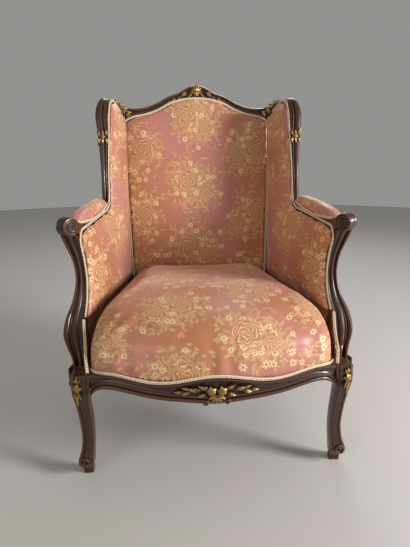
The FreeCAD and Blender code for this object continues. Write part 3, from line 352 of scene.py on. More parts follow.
def edge_distance(points, outline):
    """How far each flat point lies from the closed outline."""
    best = np.full(len(points), 1e9)
    for p, q in zip(outline, np.roll(outline, -1, axis=0)):
        d = q - p
        t = np.clip(((points - p) @ d) / max(d @ d, 1e-9), 0, 1)
        best = np.minimum(best, np.linalg.norm(points - (p + t[:, None] * d), axis=1))
    return best


def swell(distance, edge, crown, reach):
    """Height of a stuffed pad at a distance from its nails, in millimetres."""
    steep = np.clip(distance / edge, 0, 1)
    soft = np.clip(distance / reach, 0, 1)
    shoulder = edge * 0.62
    return shoulder * np.sqrt(1 - (1 - steep) ** 2) + (crown - shoulder) * np.sin(soft * math.pi / 2)


PAD_SHARES = (1.0, 0.985, 0.96, 0.925, 0.88, 0.82, 0.74, 0.64, 0.52, 0.38, 0.22, 0.07)


def pad_rings(outline, middle, count, edge, crown, reach, place):
    """Rings from the nails to the middle of a pad. place turns (a, b, height) into a point."""
    ring = even_ring(outline, count)
    rings = [[place(a, b, -1.0) for a, b in ring]]
    for share in PAD_SHARES:
        flat = np.array(middle) + (ring - middle) * share
        height = swell(edge_distance(flat, ring), edge, crown, reach)
        rings.append([place(a, b, h) for (a, b), h in zip(flat, height)])
    return rings


CLOTH_FRAMES = 18


def stuffed(pad, voxel, cap, pressure, held):
    """Remeshes the pad, lets cloth swell by no more than cap millimetres, and refines it once.
    held(co) is true at the nails."""
    apply_modifier(pad, "REMESH", mode="VOXEL", voxel_size=voxel * MM, use_smooth_shade=True)
    start = [v.co.copy() for v in pad.data.vertices]
    group = pad.vertex_groups.new(name="nails")
    group.add([v.index for v in pad.data.vertices if held(v.co)], 1.0, "REPLACE")
    hold(pad)
    cloth = pad.modifiers.new("cloth", "CLOTH")
    cloth.settings.quality = 4
    cloth.settings.mass = 0.3
    cloth.settings.tension_stiffness = cloth.settings.compression_stiffness = 18
    cloth.settings.bending_stiffness = 0.6
    cloth.settings.use_pressure = True
    cloth.settings.uniform_pressure_force = pressure
    cloth.settings.vertex_group_mass = "nails"
    cloth.settings.effector_weights.gravity = 0
    cloth.collision_settings.use_collision = False
    for step in range(1, CLOTH_FRAMES + 1):
        bpy.context.scene.frame_set(step)
    bpy.ops.object.modifier_apply(modifier="cloth")
    bpy.context.scene.frame_set(1)
    for v, p in zip(pad.data.vertices, start):
        move = v.co - p
        if move.length > cap * MM:
            v.co = p + move * (cap * MM / move.length)
    apply_modifier(pad, "SMOOTH", factor=0.5, iterations=3)
    apply_modifier(pad, "SUBSURF", levels=1, render_levels=1)
    hold(pad)
    bpy.ops.object.shade_smooth()


def read_all(items, field, width=1, kind=np.float64):
    """One field of every vertex, face or corner, as an array."""
    values = np.empty(len(items) * width, dtype=kind)
    items.foreach_get(field, values)
    return values.reshape(-1, width) if width > 1 else values


def weave_uv(piece, flat):
    """Gives cloth its own map in metres. flat(x, y, z, normals) says where points lie on the uncut
    cloth."""
    mesh = piece.data
    layer = mesh.uv_layers.active or mesh.uv_layers.new(name="cloth")
    layer.name = "cloth"
    owners = read_all(mesh.loops, "vertex_index", kind=np.int32)
    corners = read_all(mesh.polygons, "loop_total", kind=np.int32)
    x, y, z = read_all(mesh.vertices, "co", 3)[owners].T
    u, v = flat(x, y, z, np.repeat(read_all(mesh.polygons, "normal", 3), corners, axis=0))
    layer.data.foreach_set("uv", np.column_stack([u, v]).astype(np.float32).ravel())


def upholster(piece, fill, *nodes, paired=False):
    for each in dress(piece, "rose_brocade", *nodes, paired=paired):
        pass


print("pad tools ready")

# %% [markdown]
# ## The seat
# The seat is the largest pad: springs under a domed stuffing, drawn over a rounded front edge and
# nailed along the waved rail. Its outline is drawn at one level after another, each a little
# smaller, as the crown rises.

# %% Seat
# height over the rail, then how far the outline is drawn in at the front, the sides and the back
SEAT_LEVELS = [
    (0, 3, 0, 0), (12, 0, 0, 0), (40, -3, -1, 0), (60, 0, 0, 0), (78, 9, 2, 0), (92, 23, 5, 0),
    (104, 43, 10, 1), (116, 73, 18, 4), (127, 113, 34, 10), (136, 158, 62, 26), (142, 196, 104, 60),
    (146, 238, 166, 120),
]
SEAT_CROWN = 146


def seat_ring(rise, front_in, side_in, back_in):
    """The seat's outline at a height over the rail, drawn in by some millimetres at each side."""
    corner = LEG_BLOCK * 0.6
    half = LEG_INNER - corner - front_in * 0.9
    points = [(x, rail_face(x) + 2 + front_in) for x in np.linspace(0, half, 12)]
    right = (LEG_INNER + 2 - side_in, LEG_FACE + corner + front_in * 0.9 + 12)
    bend = np.array(points[-1]) * 0.5 + np.array(right) * 0.5 + np.array((corner * 0.2, -corner * 0.2))
    back_y = BACK_Y - 2 - back_in
    back_x = side_x(back_y, RAIL) - 9 - side_in
    waist_y = right[1] + 0.22 * (back_y - right[1])
    waist_x = side_x(waist_y, RAIL) - 9 - side_in
    points += [tuple(bend), right, (waist_x, waist_y), (back_x, back_y), (0, back_y)]
    points += [(-x, y) for x, y in points[-2:0:-1]]
    on_wave = LEG_Y + 10 if rise == 0 else -math.inf
    return [(x, y, rail_top(x) - 5 if y < on_wave else RAIL + rise) for x, y in even_ring(points, 96)]


seat = swept("seat_cushion", [seat_ring(*level) for level in smooth_rows(SEAT_LEVELS, 26)], 60)
stuffed(seat, 8, 8, 3.0, lambda co: co.z < (RAIL + 14) * MM)


def pull_folds(piece):
    """Shallow upright folds where the cloth is pulled down to the front rail."""
    vertices = piece.data.vertices
    places, normals = read_all(vertices, "co", 3), read_all(vertices, "normal", 3)
    x, y, z = places.T
    share = np.clip((0.395 - z) / 0.07, 0, 1) * np.clip((z - 0.292) / 0.012, 0, 1) * (y < -0.2)
    fold = np.sin(x / 0.010 + 1.5 * np.sin(x / 0.033)) * (0.55 + 0.45 * np.sin(x / 0.047 + 1.0))
    places += normals * (0.0018 * fold * share)[:, None]
    vertices.foreach_set("co", places.ravel())
    piece.data.update()


pull_folds(seat)
edge_curve = [(rail_face(0) + 2 + front, RAIL + rise) for rise, front, side, back in SEAT_LEVELS]
edge_marks = np.array(edge_curve + [(BACK_Y, RAIL + SEAT_CROWN)]) * MM
edge_length = run_along(edge_marks)


def seat_flat(x, y, z, normals):
    """Along the front and the top the cloth follows the edge curve. Each side is a piece of its own."""
    bow = (np.cos(np.minimum(1, np.abs(x) / MM / LEG_INNER) * math.pi / 2) - 1) * -BOW * MM
    spots = np.column_stack([y - bow * np.clip((0.1 - y) / 0.4, 0, 1), z])
    best = np.full(len(x), 1e9)
    along = np.zeros(len(x))
    for a, b, start in zip(edge_marks[:-1], edge_marks[1:], edge_length[:-1]):
        d = b - a
        t = np.clip((spots - a) @ d / (d @ d), 0, 1)
        off = np.linalg.norm(spots - a - t[:, None] * d, axis=1)
        closer = off < best
        best = np.where(closer, off, best)
        along = np.where(closer, start + t * np.linalg.norm(d), along)
    beside = (np.abs(normals[:, 0]) > 0.72) & (normals[:, 2] < 0.6)
    return np.where(beside, np.sign(x) * (y + 0.45), x), np.where(beside, z - 0.24, along)


weave_uv(seat, seat_flat)
upholster(seat, 0.9, "seat_cover", "seat_stuffing")
print("seat", len(seat.data.polygons), "faces")

# %% [markdown]
# ## Back pad
# The back is nailed between the two posts and under the arched crest. Seen from the front its
# outline is a tall arch-topped field, and it leans with the posts.

# %% Back pad
POST_OUT = SIDE_BACK + POST_WIDE * 0.62
POST_IN = POST_OUT - POST_WIDE
STRIP_MID = SIDE_BACK - 1.4
CREST_HIGH = 100
UNDER_SPAN = CREST_HIGH * 1.12 - 38
CREST_UNDER = [(0, 1.0), (0.18, 0.95), (0.36, 0.78), (0.52, 0.5), (0.7, 0.3), (0.86, 0.2), (1.0, 0.0)]
CREST_TOP = [
    (0.0, 1.12), (0.1, 1.06), (0.2, 0.9), (0.34, 0.76), (0.46, 0.58), (0.6, 0.43), (0.76, 0.385),
    (0.88, 0.42), (1.0, 0.44),
]


def crest_line(shares, half, high):
    """A smooth line over the back from the shares of its right half."""
    rows = [(half * s, POST_TOP + high * r) for s, r in shares]
    return smooth_rows([(-x, z) for x, z in rows[:0:-1]] + rows, 61)


UNDER = crest_line(CREST_UNDER, POST_IN + LEAN * POST_RISE, UNDER_SPAN)
OVER = crest_line(CREST_TOP, POST_OUT + LEAN * POST_RISE, CREST_HIGH)


def back_outline(inset=0.0):
    half = STRIP_MID - STRIP_HALF - 6 - inset
    half_high = half + LEAN * (POST_TOP - 6 - RAIL)
    half_low = half + LEAN * (PAD_LOW - RAIL)
    top = []
    for x in np.linspace(-half_high, half_high, 61):
        corner = max(0, abs(x) / half_high - 0.93) / 0.07
        top.append((x, height_at(UNDER, x) - 5 - 10 * corner ** 2 - inset))
    return top[::-1] + [(-half_low, PAD_LOW + inset), (half_low, PAD_LOW + inset)]


def on_back(x, z, height):
    slope = math.atan(RAKE)
    return (x, back_at(z) - 1 - height * math.cos(slope), z + height * math.sin(slope))


# pad_rings takes the outline, its middle, the points to a ring, the round edge, the crown and its reach
back = swept("back_pad", pad_rings(back_outline(), (0, 660), 120, 16, 25, 150, on_back), 60)
stuffed(back, 7, 5, 2.0, lambda co: co.y > (back_at(co.z / MM) - 6) * MM)
weave_uv(back, lambda x, y, z, normals: (x + 0.11, z + 0.05))
upholster(back, 0.8, "inside_back_cover", "back_stuffing")
print("back", len(back.data.polygons), "faces")

# %% [markdown]
# ## Side pads
# Each side is one L-shaped pad: it fills the wing above and the arm below, and its front edge
# follows the inside of the arm support. It is modelled on the right and copied to the left.

# %% Side pads
# share of the wing's height, y from its foot, turn in degrees, flare outward and extra width
WING_STEPS = [
    (0.0, -3, 5, 16, 2), (0.12, 3, 8, 13, 0), (0.3, 14, 12, 13, 0), (0.48, 31, 14, 16, 0),
    (0.68, 51, 14, 20, 2), (0.84, 66, 20, 23, 4), (0.94, 82, 38, 20, 2), (0.985, 100, 60, 17, 0),
    (1.0, 128, 78, 14, 0),
]


def wing_station(share, y, turn, flare, wide):
    """A station of the wing at a share of its height."""
    base = arm_top(WING_Y)
    z = base + (WING_TOP - base) * share
    inner = side_x(WING_Y + 40, RAIL) + flare
    outer = inner + 28 + wide
    inner = max(inner, side_x(WING_Y + y + 9, z) + GAP)
    return (WING_Y + y, z, turn, inner, outer, 30)


def side_outline():
    """The side pad's outline as (y, z): up the arm support, along the arm, round the wing and down."""
    arm = arm_top(ARM_FRONT + 40) - 17
    front = [
        (SUPPORT_Y - 36, PAD_LOW), (SUPPORT_Y - 8, RAIL + 135), (SUPPORT_Y + 9, RAIL + 191),
        (SUPPORT_Y + 6, RAIL + 244), (SUPPORT_Y - 2, arm - 12), (SUPPORT_Y + 8, arm),
    ]
    rise = []
    for step in WING_STEPS[1:]:
        station = wing_station(*step)
        lean = math.radians(step[2])
        rise.append((station[0] + 11 * math.cos(lean), station[1] - 11 * math.sin(lean)))
    corner = [(WING_Y - 26, arm_top(WING_Y) - 20), (WING_Y - 2, arm_top(WING_Y) - 9)]
    back = [(back_at(POST_TOP - 18) - 6, POST_TOP + 8), (back_at(PAD_LOW) - 6, PAD_LOW)]
    return smooth_rows(front, 20) + corner + smooth_rows(rise, 16) + back


def on_side(y, z, height):
    return (side_x(y, z) - height, y - 0.19 * height, z + LEAN * height)


side = swept("side_pad_right", pad_rings(side_outline(), (150, 560), 140, 14, 24, 120, on_side), 60)
stuffed(side, 6.5, 5, 2.0, lambda co: co.x > side_x(co.y / MM, co.z / MM) * MM - 0.006)
weave_uv(side, lambda x, y, z, normals: (y + 0.03, z + 0.16))
upholster(side, 0.8, "inside_side_cover", "side_stuffing", paired=True)
print("side pads", len(side.data.polygons), "faces each")

# %% [markdown]
# ## Arm pads
# A small stuffed roll lies on each arm. It is widest in the middle and drawn down at both ends.

# %% Arm pads
PAD_FROM, PAD_TO = ARM_FRONT + 38, WING_Y - 14
ROLL_MIDDLE, ROLL_HALF = 18, 24
# share of the length, width and height as shares of the full roll
ROLL_STEPS = [
    (0.0, 0.3, 0.2), (0.03, 0.55, 0.5), (0.08, 0.78, 0.74), (0.16, 0.92, 0.92), (0.3, 1.0, 1.03),
    (0.5, 0.98, 1.05), (0.78, 0.94, 1.0), (0.93, 0.84, 0.8), (0.98, 0.7, 0.55), (1.0, 0.55, 0.25),
]


def droop(share):
    """How far the roll's inner edge hangs over the arm."""
    return 9 * math.sin(math.pi * min(1, max(0, share))) ** 1.5


def roll_place(share):
    y = PAD_FROM + (PAD_TO - PAD_FROM) * share
    return side_x(y, arm_top(y)) + ROLL_MIDDLE, y


def roll_section(share, wide, high):
    middle, y = roll_place(share)
    half = ROLL_HALF * wide
    points = []
    for k in range(25):
        angle = math.pi * k / 24
        lift = 24 * high * math.sin(angle) ** 0.7
        hang = droop(share) * max(0, -math.cos(angle)) ** 4
        points.append((middle + half * math.cos(angle), y - 0.12 * lift, arm_top(y) + 0.5 + lift - hang))
    return points + [(middle - half * (1 - k / 4), y, arm_top(y) + 0.5) for k in range(1, 8)]


arm_pad = swept("arm_pad_roll_right", [roll_section(*row) for row in smooth_rows(ROLL_STEPS, 26)], 60)
stuffed(arm_pad, 4, 3, 2.0, lambda co: co.z < (arm_top(co.y / MM) + 4) * MM)
weave_uv(arm_pad, lambda x, y, z, normals: (y + 0.1, z + x * 0.9))
upholster(arm_pad, 0.7, "arm_pad", "arm_pad_cover", paired=True)
print("arm pads", len(arm_pad.data.polygons), "faces each")

# %% [markdown]
# ## Outside panels
# The outside of the chair is closed by cloth pulled flat over the frame. Only a little fullness
# shows, so these are low pads with the same brocade and no stuffing to speak of.

# %% Outside panels
PANEL_OUT, PANEL_BEHIND = 12.5, 38.5


def out_side(y, z, height):
    return (side_x(y, z) + PANEL_OUT + height, y + 0.19 * height, z - LEAN * height)


panel_outline = smooth_rows([(SUPPORT_Y - 22, RAIL + 2), (SUPPORT_Y + 6, RAIL + 90),
                             (SUPPORT_Y + 39, RAIL + 170), (SUPPORT_Y + 40, ARM_Z - 34)], 14)
panel_outline += [(WING_Y + 52, ARM_Z - 15), (back_at(ARM_Z) + 6, ARM_Z - 4), (back_at(RAIL) + 6, RAIL + 2)]
panel_rings = pad_rings(panel_outline, (60, 440), 90, 2.5, 4.5, 60, out_side)
outside = swept("outside_side_panel_right", panel_rings, 60)
weave_uv(outside, lambda x, y, z, normals: (y + 0.02, z + 0.09))
upholster(outside, 0.2, "outside_side_cover", paired=True)


def behind(x, z, height):
    slope = math.atan(RAKE)
    return (x, back_at(z) + PANEL_BEHIND + height * math.cos(slope), z - height * math.sin(slope))


half_top = POST_OUT - 5 + LEAN * POST_RISE
rear_outline = [(-POST_OUT + 5, RAIL + 2), (POST_OUT - 5, RAIL + 2)]
rear_outline += [(x, height_at(UNDER, x) + 10) for x in np.linspace(half_top, -half_top, 41)]
rear = swept("outside_back_panel", pad_rings(rear_outline, (0, 590), 160, 2.5, 5, 60, behind), 60)
weave_uv(rear, lambda x, y, z, normals: (0.11 - x, z + 0.05))
upholster(rear, 0.2, "outside_back_cover")
print("outside panels made")

# %% [markdown]
# ## Show-wood
# The frame is walnut, sawn to shape and run with beads along both edges. Arm support, arm and wing
# each keep the same beads, so that the lines of light run on from one to the next.


# %% Front legs
WALNUT = "carved_walnut"
UP = Vector((0, 0, 1))
# plain behind, a bead at each front corner and a hollow beside it
LEG = [
    (-0.5, 0.3), (-0.42, 0.42), (-0.3, 0.5), (0.3, 0.5), (0.42, 0.42), (0.5, 0.3), (0.5, 0.05),
    (0.5, -0.16), (0.44, -0.2), (0.44, -0.25), (0.5, -0.31), (0.49, -0.4), (0.42, -0.47),
    (0.33, -0.49), (0.27, -0.43), (0.22, -0.43), (0.15, -0.5), (0.0, -0.49), (-0.15, -0.49),
    (-0.26, -0.5), (-0.31, -0.44), (-0.36, -0.44), (-0.42, -0.47), (-0.49, -0.4), (-0.5, -0.3),
    (-0.5, 0.0),
]


def leg_row(z, width, out, back):
    x, y = LEG_X + out, LEG_Y + back
    return (y - width / 2, z, 0, x - width / 2, x + width / 2, width)


# height, width, and how far the middle lies outward and backward of the leg block's
leg_rows = [leg_row(*row) for row in (
    (0, 26, 3, 24), (13, 26, 3, 24), (19, 27, 4, 22), (26, 34, 4, 15), (42, 39, 4, 11), (56, 37, 2, 12),
    (70, 33, -1, 14), (86, 31, -3, 15), (104, 30, -4, 17), (143, 31, -4, 13.6), (206, 35, 0, 5),
    (240, 40, 2, -1), (262, 43, 1, -1.6), (274, 44, 0, 0), (RAIL, 44, 0, 0),
)]


def spiral_bead(name, hub, axis, radius, turns, thick, start):
    """A round bead wound inward on the face of a scroll."""
    axis = Vector(axis).normalized()
    across = UP.cross(axis)
    rings = []
    for share in np.linspace(0, 1, 70):
        angle = start + 2 * math.pi * turns * share
        out = across * math.cos(angle) + UP * math.sin(angle)
        centre = Vector(hub) + out * radius * (1 - 0.8 * share)
        size = thick * (1 - 0.35 * share)
        rings.append([tuple(centre + out * a * size * 2 + axis * b * size * 2) for a, b in TURNED])
    return swept(name, rings, 60)


leg = bar("leg_right", LEG, leg_rows, 60)
foot_at = (LEG_X + 5, LEG_Y - 9.5, 45)
foot_scroll = spiral_bead("foot_scroll_right", foot_at, (0.1, -1, -0.05), 12.5, 1.6, 3.0, -0.4 * math.pi)
dress(joined("leg_right", (leg, foot_scroll)), WALNUT, "front_leg", paired=True)
print("legs", len(leg_rows), "stations each")

# %% [markdown]
# ## Front rail
# The front rail bows forward in plan and waves in height. Its lower edge carries a double bead that
# turns down into the legs.

# %% Front rail
# percent of the way to the leg, and how far the rail's lower edge hangs below its top
RAIL_DROP = [
    (0, 57), (12, 55), (25, 52), (40, 49), (55, 44), (70, 36), (82, 31), (90, 32), (96, 40), (100, 56),
]
DROP = [(reach / 100, drop) for reach, drop in smooth_rows(RAIL_DROP, 60)]


def rail_low(x):
    return RAIL - height_at(DROP, min(1.0, abs(x) / LEG_INNER))


def rail_section(x):
    """The rail's section: a bead at the top, a plain field, and two beads along the waved low edge."""
    face, top, low = rail_face(x), rail_top(x), rail_low(x)
    front = [
        (26, top), (3, top), (0.5, top - 1), (0, top - 3), (0.6, top - 6), (2.6, top - 10),
        (2.9, low + 24), (1.6, low + 20), (-0.5, low + 18.5), (-2.6, low + 16.5), (-2.6, low + 14),
        (-0.4, low + 12), (0.4, low + 10.5), (-1.6, low + 9.5), (-3.8, low + 8), (-4.6, low + 5.5),
        (-4.2, low + 2.5), (-2, low + 0.4), (2, low), (26, low + 2),
    ]
    return [(x, face + y, z) for y, z in front]


rail_steps = np.linspace(-LEG_INNER + GAP, LEG_INNER - GAP, 90)
dress(swept("front_rail", [rail_section(x) for x in rail_steps], 40), WALNUT, "front_seat_rail")
print("front rail", len(rail_steps), "sections")

# %% [markdown]
# ## Arm supports and scrolls
# The support springs from the rail behind the leg, bulges out like a hip, draws in at the waist
# and flares into a scroll that carries the arm.

# %% Arm supports
# share of the height, y from the support's middle, inward, width and extra depth
SUPPORT = [
    (0.0, -118, 24, 33, 52), (0.07, -112, 23, 36, 46), (0.14, -92, 17, 47, 30), (0.21, -66, 8, 54, 14),
    (0.31, -42, 0, 47, 5), (0.44, -17, 0, 35, 1), (0.62, 0, 0, 26, 0), (0.78, -3, 0, 28, 0),
    (0.91, -15, 0, 36, 2), (1.0, -27, 0, 40, 5),
]
SUPPORT_DEPTH = 36
support_rows = []
for share, shift, inward, width, thick in SUPPORT:
    y, z = SUPPORT_Y + shift, RAIL + SUPPORT_TALL * share
    inner = side_x(y, z) - inward
    support_rows.append((y, z, 0, inner, inner + width, SUPPORT_DEPTH + thick))
dress(bar("arm_post_right", SHOW, support_rows, 64), WALNUT, "arm_support", paired=True)
print("arm supports", len(support_rows), "stations each")

# %% Arms and scrolls
ARM = bead_section([(0.36, 0.13, 0.14), (-0.36, 0.13, 0.14)], -0.36)
end = back_at(arm_top(BACK_Y)) + POST_BEHIND - GAP
arm_rows = []
for y, up, turn, wide in (
    (ARM_FRONT + 2, 20, 96, 4), (ARM_FRONT + 22, 11, 116, 4), (ARM_FRONT + 44, 1.5, 96, 3),
    (ARM_FRONT + 66, 0, 83.2, 2), (WING_Y + 4, 0, 83.2, 0), (end - 3, 0, 83.2, -4),
):
    inner = side_x(y, arm_top(y)) + GAP
    arm_rows.append((y, arm_top(y) + up, turn, inner, inner + 36 + wide, 30))
arm = bar("arm_right", ARM, arm_rows, 40)
AXIS = Vector((-0.72, -0.69, 0)).normalized()
ACROSS = UP.cross(AXIS)
radius = SCROLL / 2 - 2
hub = Vector((side_x(ARM_FRONT, ARM_Z) + radius - 3, ARM_FRONT + 6, RAIL + SUPPORT_TALL + radius - 2))
# along the scroll's axis, and the radius there as a share
SCROLL_TURNING = [
    (-18, 0.7), (-17, 0.9), (-14.5, 1.0), (-11, 1.0), (-9, 0.93), (-7.5, 0.93), (-5, 1.0), (-2, 1.03),
    (2, 1.03), (5, 1.0), (7.5, 0.93), (9, 0.93), (11, 1.0), (14.5, 1.0), (16.5, 0.94), (17, 0.86),
    (15.6, 0.8), (15.2, 0.7),
]
angles = [2 * math.pi * k / 40 for k in range(40)]
around = [ACROSS * math.cos(angle) + UP * math.sin(angle) for angle in angles]
ends = [[tuple(hub + AXIS * along + out * radius * r) for out in around] for along, r in SCROLL_TURNING]
volute = swept("scroll_right", ends, 40)
curl = spiral_bead("scroll_curl_right", hub + AXIS * 15.5, AXIS, radius * 0.84, 1.9, 3.0, -0.6 * math.pi)
dress(joined("arm_right", (arm, volute, curl)), WALNUT, "arm_rail", paired=True)
print("arms", len(arm_rows), "stations each")

# %% Wings
wing_rows = [wing_station(*step) for step in WING_STEPS[1:]]
wing_rows[0] = (wing_rows[0][0], arm_top(WING_Y) - 1) + wing_rows[0][2:]
end_y = back_at(POST_TOP) + POST_BEHIND
inner = side_x(end_y, POST_TOP) - 4
bend = wing_rows[-1]
wing_rows += [
    (end_y - 66, WING_TOP - 7, 96, 0.5 * (bend[3] + inner) + 2, 0.5 * (bend[4] + inner) + 15, 30),
    (end_y - 26, WING_TOP - 16, 92, inner + 3, inner + 28, 32),
    (end_y - GAP, WING_TOP - 18, 90, inner, inner + 25, 36),
]
dress(bar("wing_right", WINGED, wing_rows, 80), WALNUT, "wing_post", "wing_top_rail", paired=True)
print("wings", len(wing_rows), "stations each")

# %% Crest rail
# the section hangs behind the back pad's edge, and beads run along its top and its arched low edge
crest = []
for along, high in OVER:
    low = height_at(UNDER, along)
    rows = [
        (35, low - 20), (35, high - 2), (33, high), (8, high), (4, high - 0.5), (0.5, high - 2),
        (0, high - 5), (1.5, high - 8), (4.5, high - 9.5), (5.5, high - 12), (3, high - 13), (2, high - 15),
        (3, high - 17), (6.5, high - 18.5), (8, high - 22), (8, low + 11), (6, low + 9.6), (3.6, low + 8.5),
        (2, low + 6), (2.2, low + 3), (4, low + 0.6), (8, low), (8, low - 20),
    ]
    crest.append([(along, back_at(z) + y, z) for y, z in rows])
dress(swept("crest", crest, 40), WALNUT, "crest_rail")
print("crest", len(crest), "sections")

# %% Rear posts, rail facings and the beads beside the back
def post_row(z, front, depth):
    lean = LEAN * max(0, z - RAIL)
    return (front, z, 0, POST_IN + lean + (0 if z > 60 else 3), POST_OUT + lean, depth)


POST = [
    (-0.5, 0.42), (-0.42, 0.5), (0.42, 0.5), (0.5, 0.42), (0.5, -0.42), (0.44, -0.5), (-0.44, -0.5),
    (-0.5, -0.42),
]
# height, front face and depth below the seat, where the post kicks back
KICK = [(0, 342, 30), (30, 322, 31), (71, 295, 34), (120, 265, 36), (172, 244, 34), (215, 233, 31)]
post_rows = [post_row(*row) for row in KICK]
for z in (RAIL, 330, 450, 600, 750, POST_TOP):
    post_rows.append(post_row(z, back_at(z) + POST_BEHIND, POST_DEPTH))
dress(bar("rear_stile_right", POST, post_rows, 60), WALNUT, "rear_post", paired=True)

# thin walnut mouldings that cover the beech rails where the chair's sides and back show them:
# each point is how far out of the rail's face it lies, and its height
SIDE_RAIL_OUT, REAR_RAIL_DEPTH = 19.3, 26
FACING = [
    (0, 240), (0, 286), (2.4, 286), (3.2, 283), (3.2, 254), (2.2, 252), (3.6, 250.5), (5.2, 247),
    (4.8, 242.5), (3, 240),
]
side_steps = np.linspace(-269, 224, 12)
side_facing = [[(side_x(y, RAIL) + SIDE_RAIL_OUT + out, y, z) for out, z in FACING] for y in side_steps]
dress(swept("side_rail_facing_right", side_facing), WALNUT, paired=True)
rear_edge = BACK_Y + POST_BEHIND + REAR_RAIL_DEPTH + GAP
rear_steps = np.linspace(-POST_IN + 1, POST_IN - 1, 12)
rear_facing = [[(x, rear_edge + out, z) for out, z in FACING] for x in rear_steps]
dress(swept("rear_rail_facing", rear_facing), WALNUT)

STRIP = bead_section([(0.3, 0.19, 0.3), (-0.3, 0.19, 0.3)], -0.1)
strip_rows = []
for z in (PAD_LOW, 500, 650, 780, POST_TOP + 14):
    middle = STRIP_MID + LEAN * (z - RAIL)
    strip_rows.append((back_at(z) - 1, z, 0, middle - STRIP_HALF, middle + STRIP_HALF, 9))
dress(bar("stile_bead_right", STRIP, strip_rows, 10), WALNUT, paired=True)
print("show-wood made")

# %% [markdown]
# ## Gimp braid
# A woven braid 7.5 mm wide is glued over every row of tacks, and one of 9 mm round the outside
# panels. It is a low rounded strip with scalloped edges, laid along the outline of each pad and
# standing on the cloth or the wood.

# %% Gimp
GIMP = "gimp_braid"
PLAIT = 6
OUTSIDE_WIDTH = 9
BRAID_PROFILE = (
    (-1, -0.2), (-0.92, 0.45), (-0.55, 0.9), (-0.18, 0.72), (0.18, 0.72), (0.55, 0.9), (0.92, 0.45),
    (1, -0.2),
)


def strip(name, path, normals, width=7.5, thick=2.4, loop=False):
    """A rounded braid along a path, lying square to the normals, scalloped with each plait."""
    path, normals = np.array(path, dtype=float), np.array(normals, dtype=float)
    knots = run_along(path)
    count = max(8, int(knots[-1] / 1.5))
    steps = np.linspace(0, knots[-1], count, endpoint=not loop)
    line, up = read_off(knots, path, steps), read_off(knots, normals, steps)
    verts = []
    for p, n, t, s in zip(line, up, np.gradient(line, axis=0), steps):
        side = np.cross(n, t)
        side /= np.linalg.norm(side)
        n = np.cross(t, side)
        n /= np.linalg.norm(n)
        half = width / 2 * (1 + 0.12 * math.cos(2 * math.pi * s / PLAIT))
        verts += [tuple((p + side * half * a + n * thick * b) * MM) for a, b in BRAID_PROFILE]
    around = len(BRAID_PROFILE)
    faces = []
    for i in range(count if loop else count - 1):
        here, ahead = i * around, (i + 1) % count * around
        for k in range(around):
            m = (k + 1) % around
            faces.append((here + k, here + m, ahead + m, ahead + k))
    if not loop:
        faces += [tuple(range(around)), tuple(range((count - 1) * around, count * around))]
    mesh = bpy.data.meshes.new(name)
    mesh.from_pydata(verts, [], faces)
    piece = bpy.data.objects.new(name, mesh)
    bpy.context.scene.collection.objects.link(piece)
    for corner, loop_item in zip(mesh.uv_layers.new(name="girth").data, mesh.loops):
        row, place = divmod(loop_item.vertex_index, around)
        corner.uv = (place / (around - 1), steps[row] * MM)
    return finish_piece(piece, name, 60)


def seat_away(x):
    """The way out of the seat's edge: forward, and sideways near the legs."""
    sideways = 0.35 * x / LEG_INNER if abs(x) < 262 else math.copysign(1.0, x) * (abs(x) - 240) / 40
    return Vector((sideways, -1, 0)).normalized()


front = [p for p in seat_ring(14, 0, 0, 0) if p[1] < LEG_Y + 12]
front.sort(key=lambda p: math.atan2(p[0], -p[1]))
seat_normals = [seat_away(x) for x, y, z in front]
seat_path = [
    (x + out.x * 1.5, y + out.y * 1.5, rail_top(x) + 5.5) for (x, y, z), out in zip(front, seat_normals)
]
dress(strip("seat_braid", seat_path, seat_normals), GIMP, "seat_gimp")

FORWARD = Vector((0, -1, RAKE)).normalized()
*back_top, low_left, low_right = [(x, z) for x, z in back_outline(-0.5)]
back_path = [on_back(x, z, 1.0) for x, z in [(low_right[0], PAD_LOW), *back_top, (low_left[0], PAD_LOW)]]
dress(strip("back_braid", back_path, [FORWARD] * len(back_path)), GIMP, "back_gimp")

INWARD = Vector((-1, SIDE_SLOPE, LEAN)).normalized()
ring = even_ring(side_outline(), 200)
side_path = []
for (a, b), (c, d) in zip(ring, np.roll(ring, -1, axis=0)):
    out = np.array((d - b, a - c))
    out = out / np.linalg.norm(out) * -3.5
    side_path.append(on_side(a + out[0], b + out[1], 1.0))
last = max(k for k, p in enumerate(side_path) if p[2] > PAD_LOW + 4)
side_braid = strip("side_braid_right", side_path[1:last], [INWARD] * (last - 1))
dress(side_braid, GIMP, "side_gimp", paired=True)

down = []
for share, shift, inward, width, thick in smooth_rows(SUPPORT[:5], 40):
    y, z = SUPPORT_Y + shift, RAIL + SUPPORT_TALL * share
    x = side_x(y, z) - inward - 2 - 6 * (1 - share / SUPPORT[4][0]) ** 2
    down.append((x, y - (SUPPORT_DEPTH + thick) / 2 + 9, z + 6))
post_braid = strip("post_braid_right", down, [Vector((-0.35, -1, 0)).normalized()] * len(down))
dress(post_braid, GIMP, paired=True)

inner_edge, outer_edge = [], []
for share, wide, high in smooth_rows(ROLL_STEPS, 40):
    x, y = roll_place(share)
    half, z = ROLL_HALF * wide + 1, arm_top(y) + 3
    inner_edge.append((x - half, y, z - droop(share)))
    outer_edge.append((x + half, y, z))
outline = np.array(inner_edge + outer_edge[::-1])
ahead = np.roll(outline, -1, axis=0) - np.roll(outline, 1, axis=0)
away = [Vector((-t[1], t[0], 0)).normalized() for t in ahead]
dress(strip("arm_braid_right", outline, away, 7.5, 2.2, loop=True), GIMP, "arm_pad_gimp", paired=True)

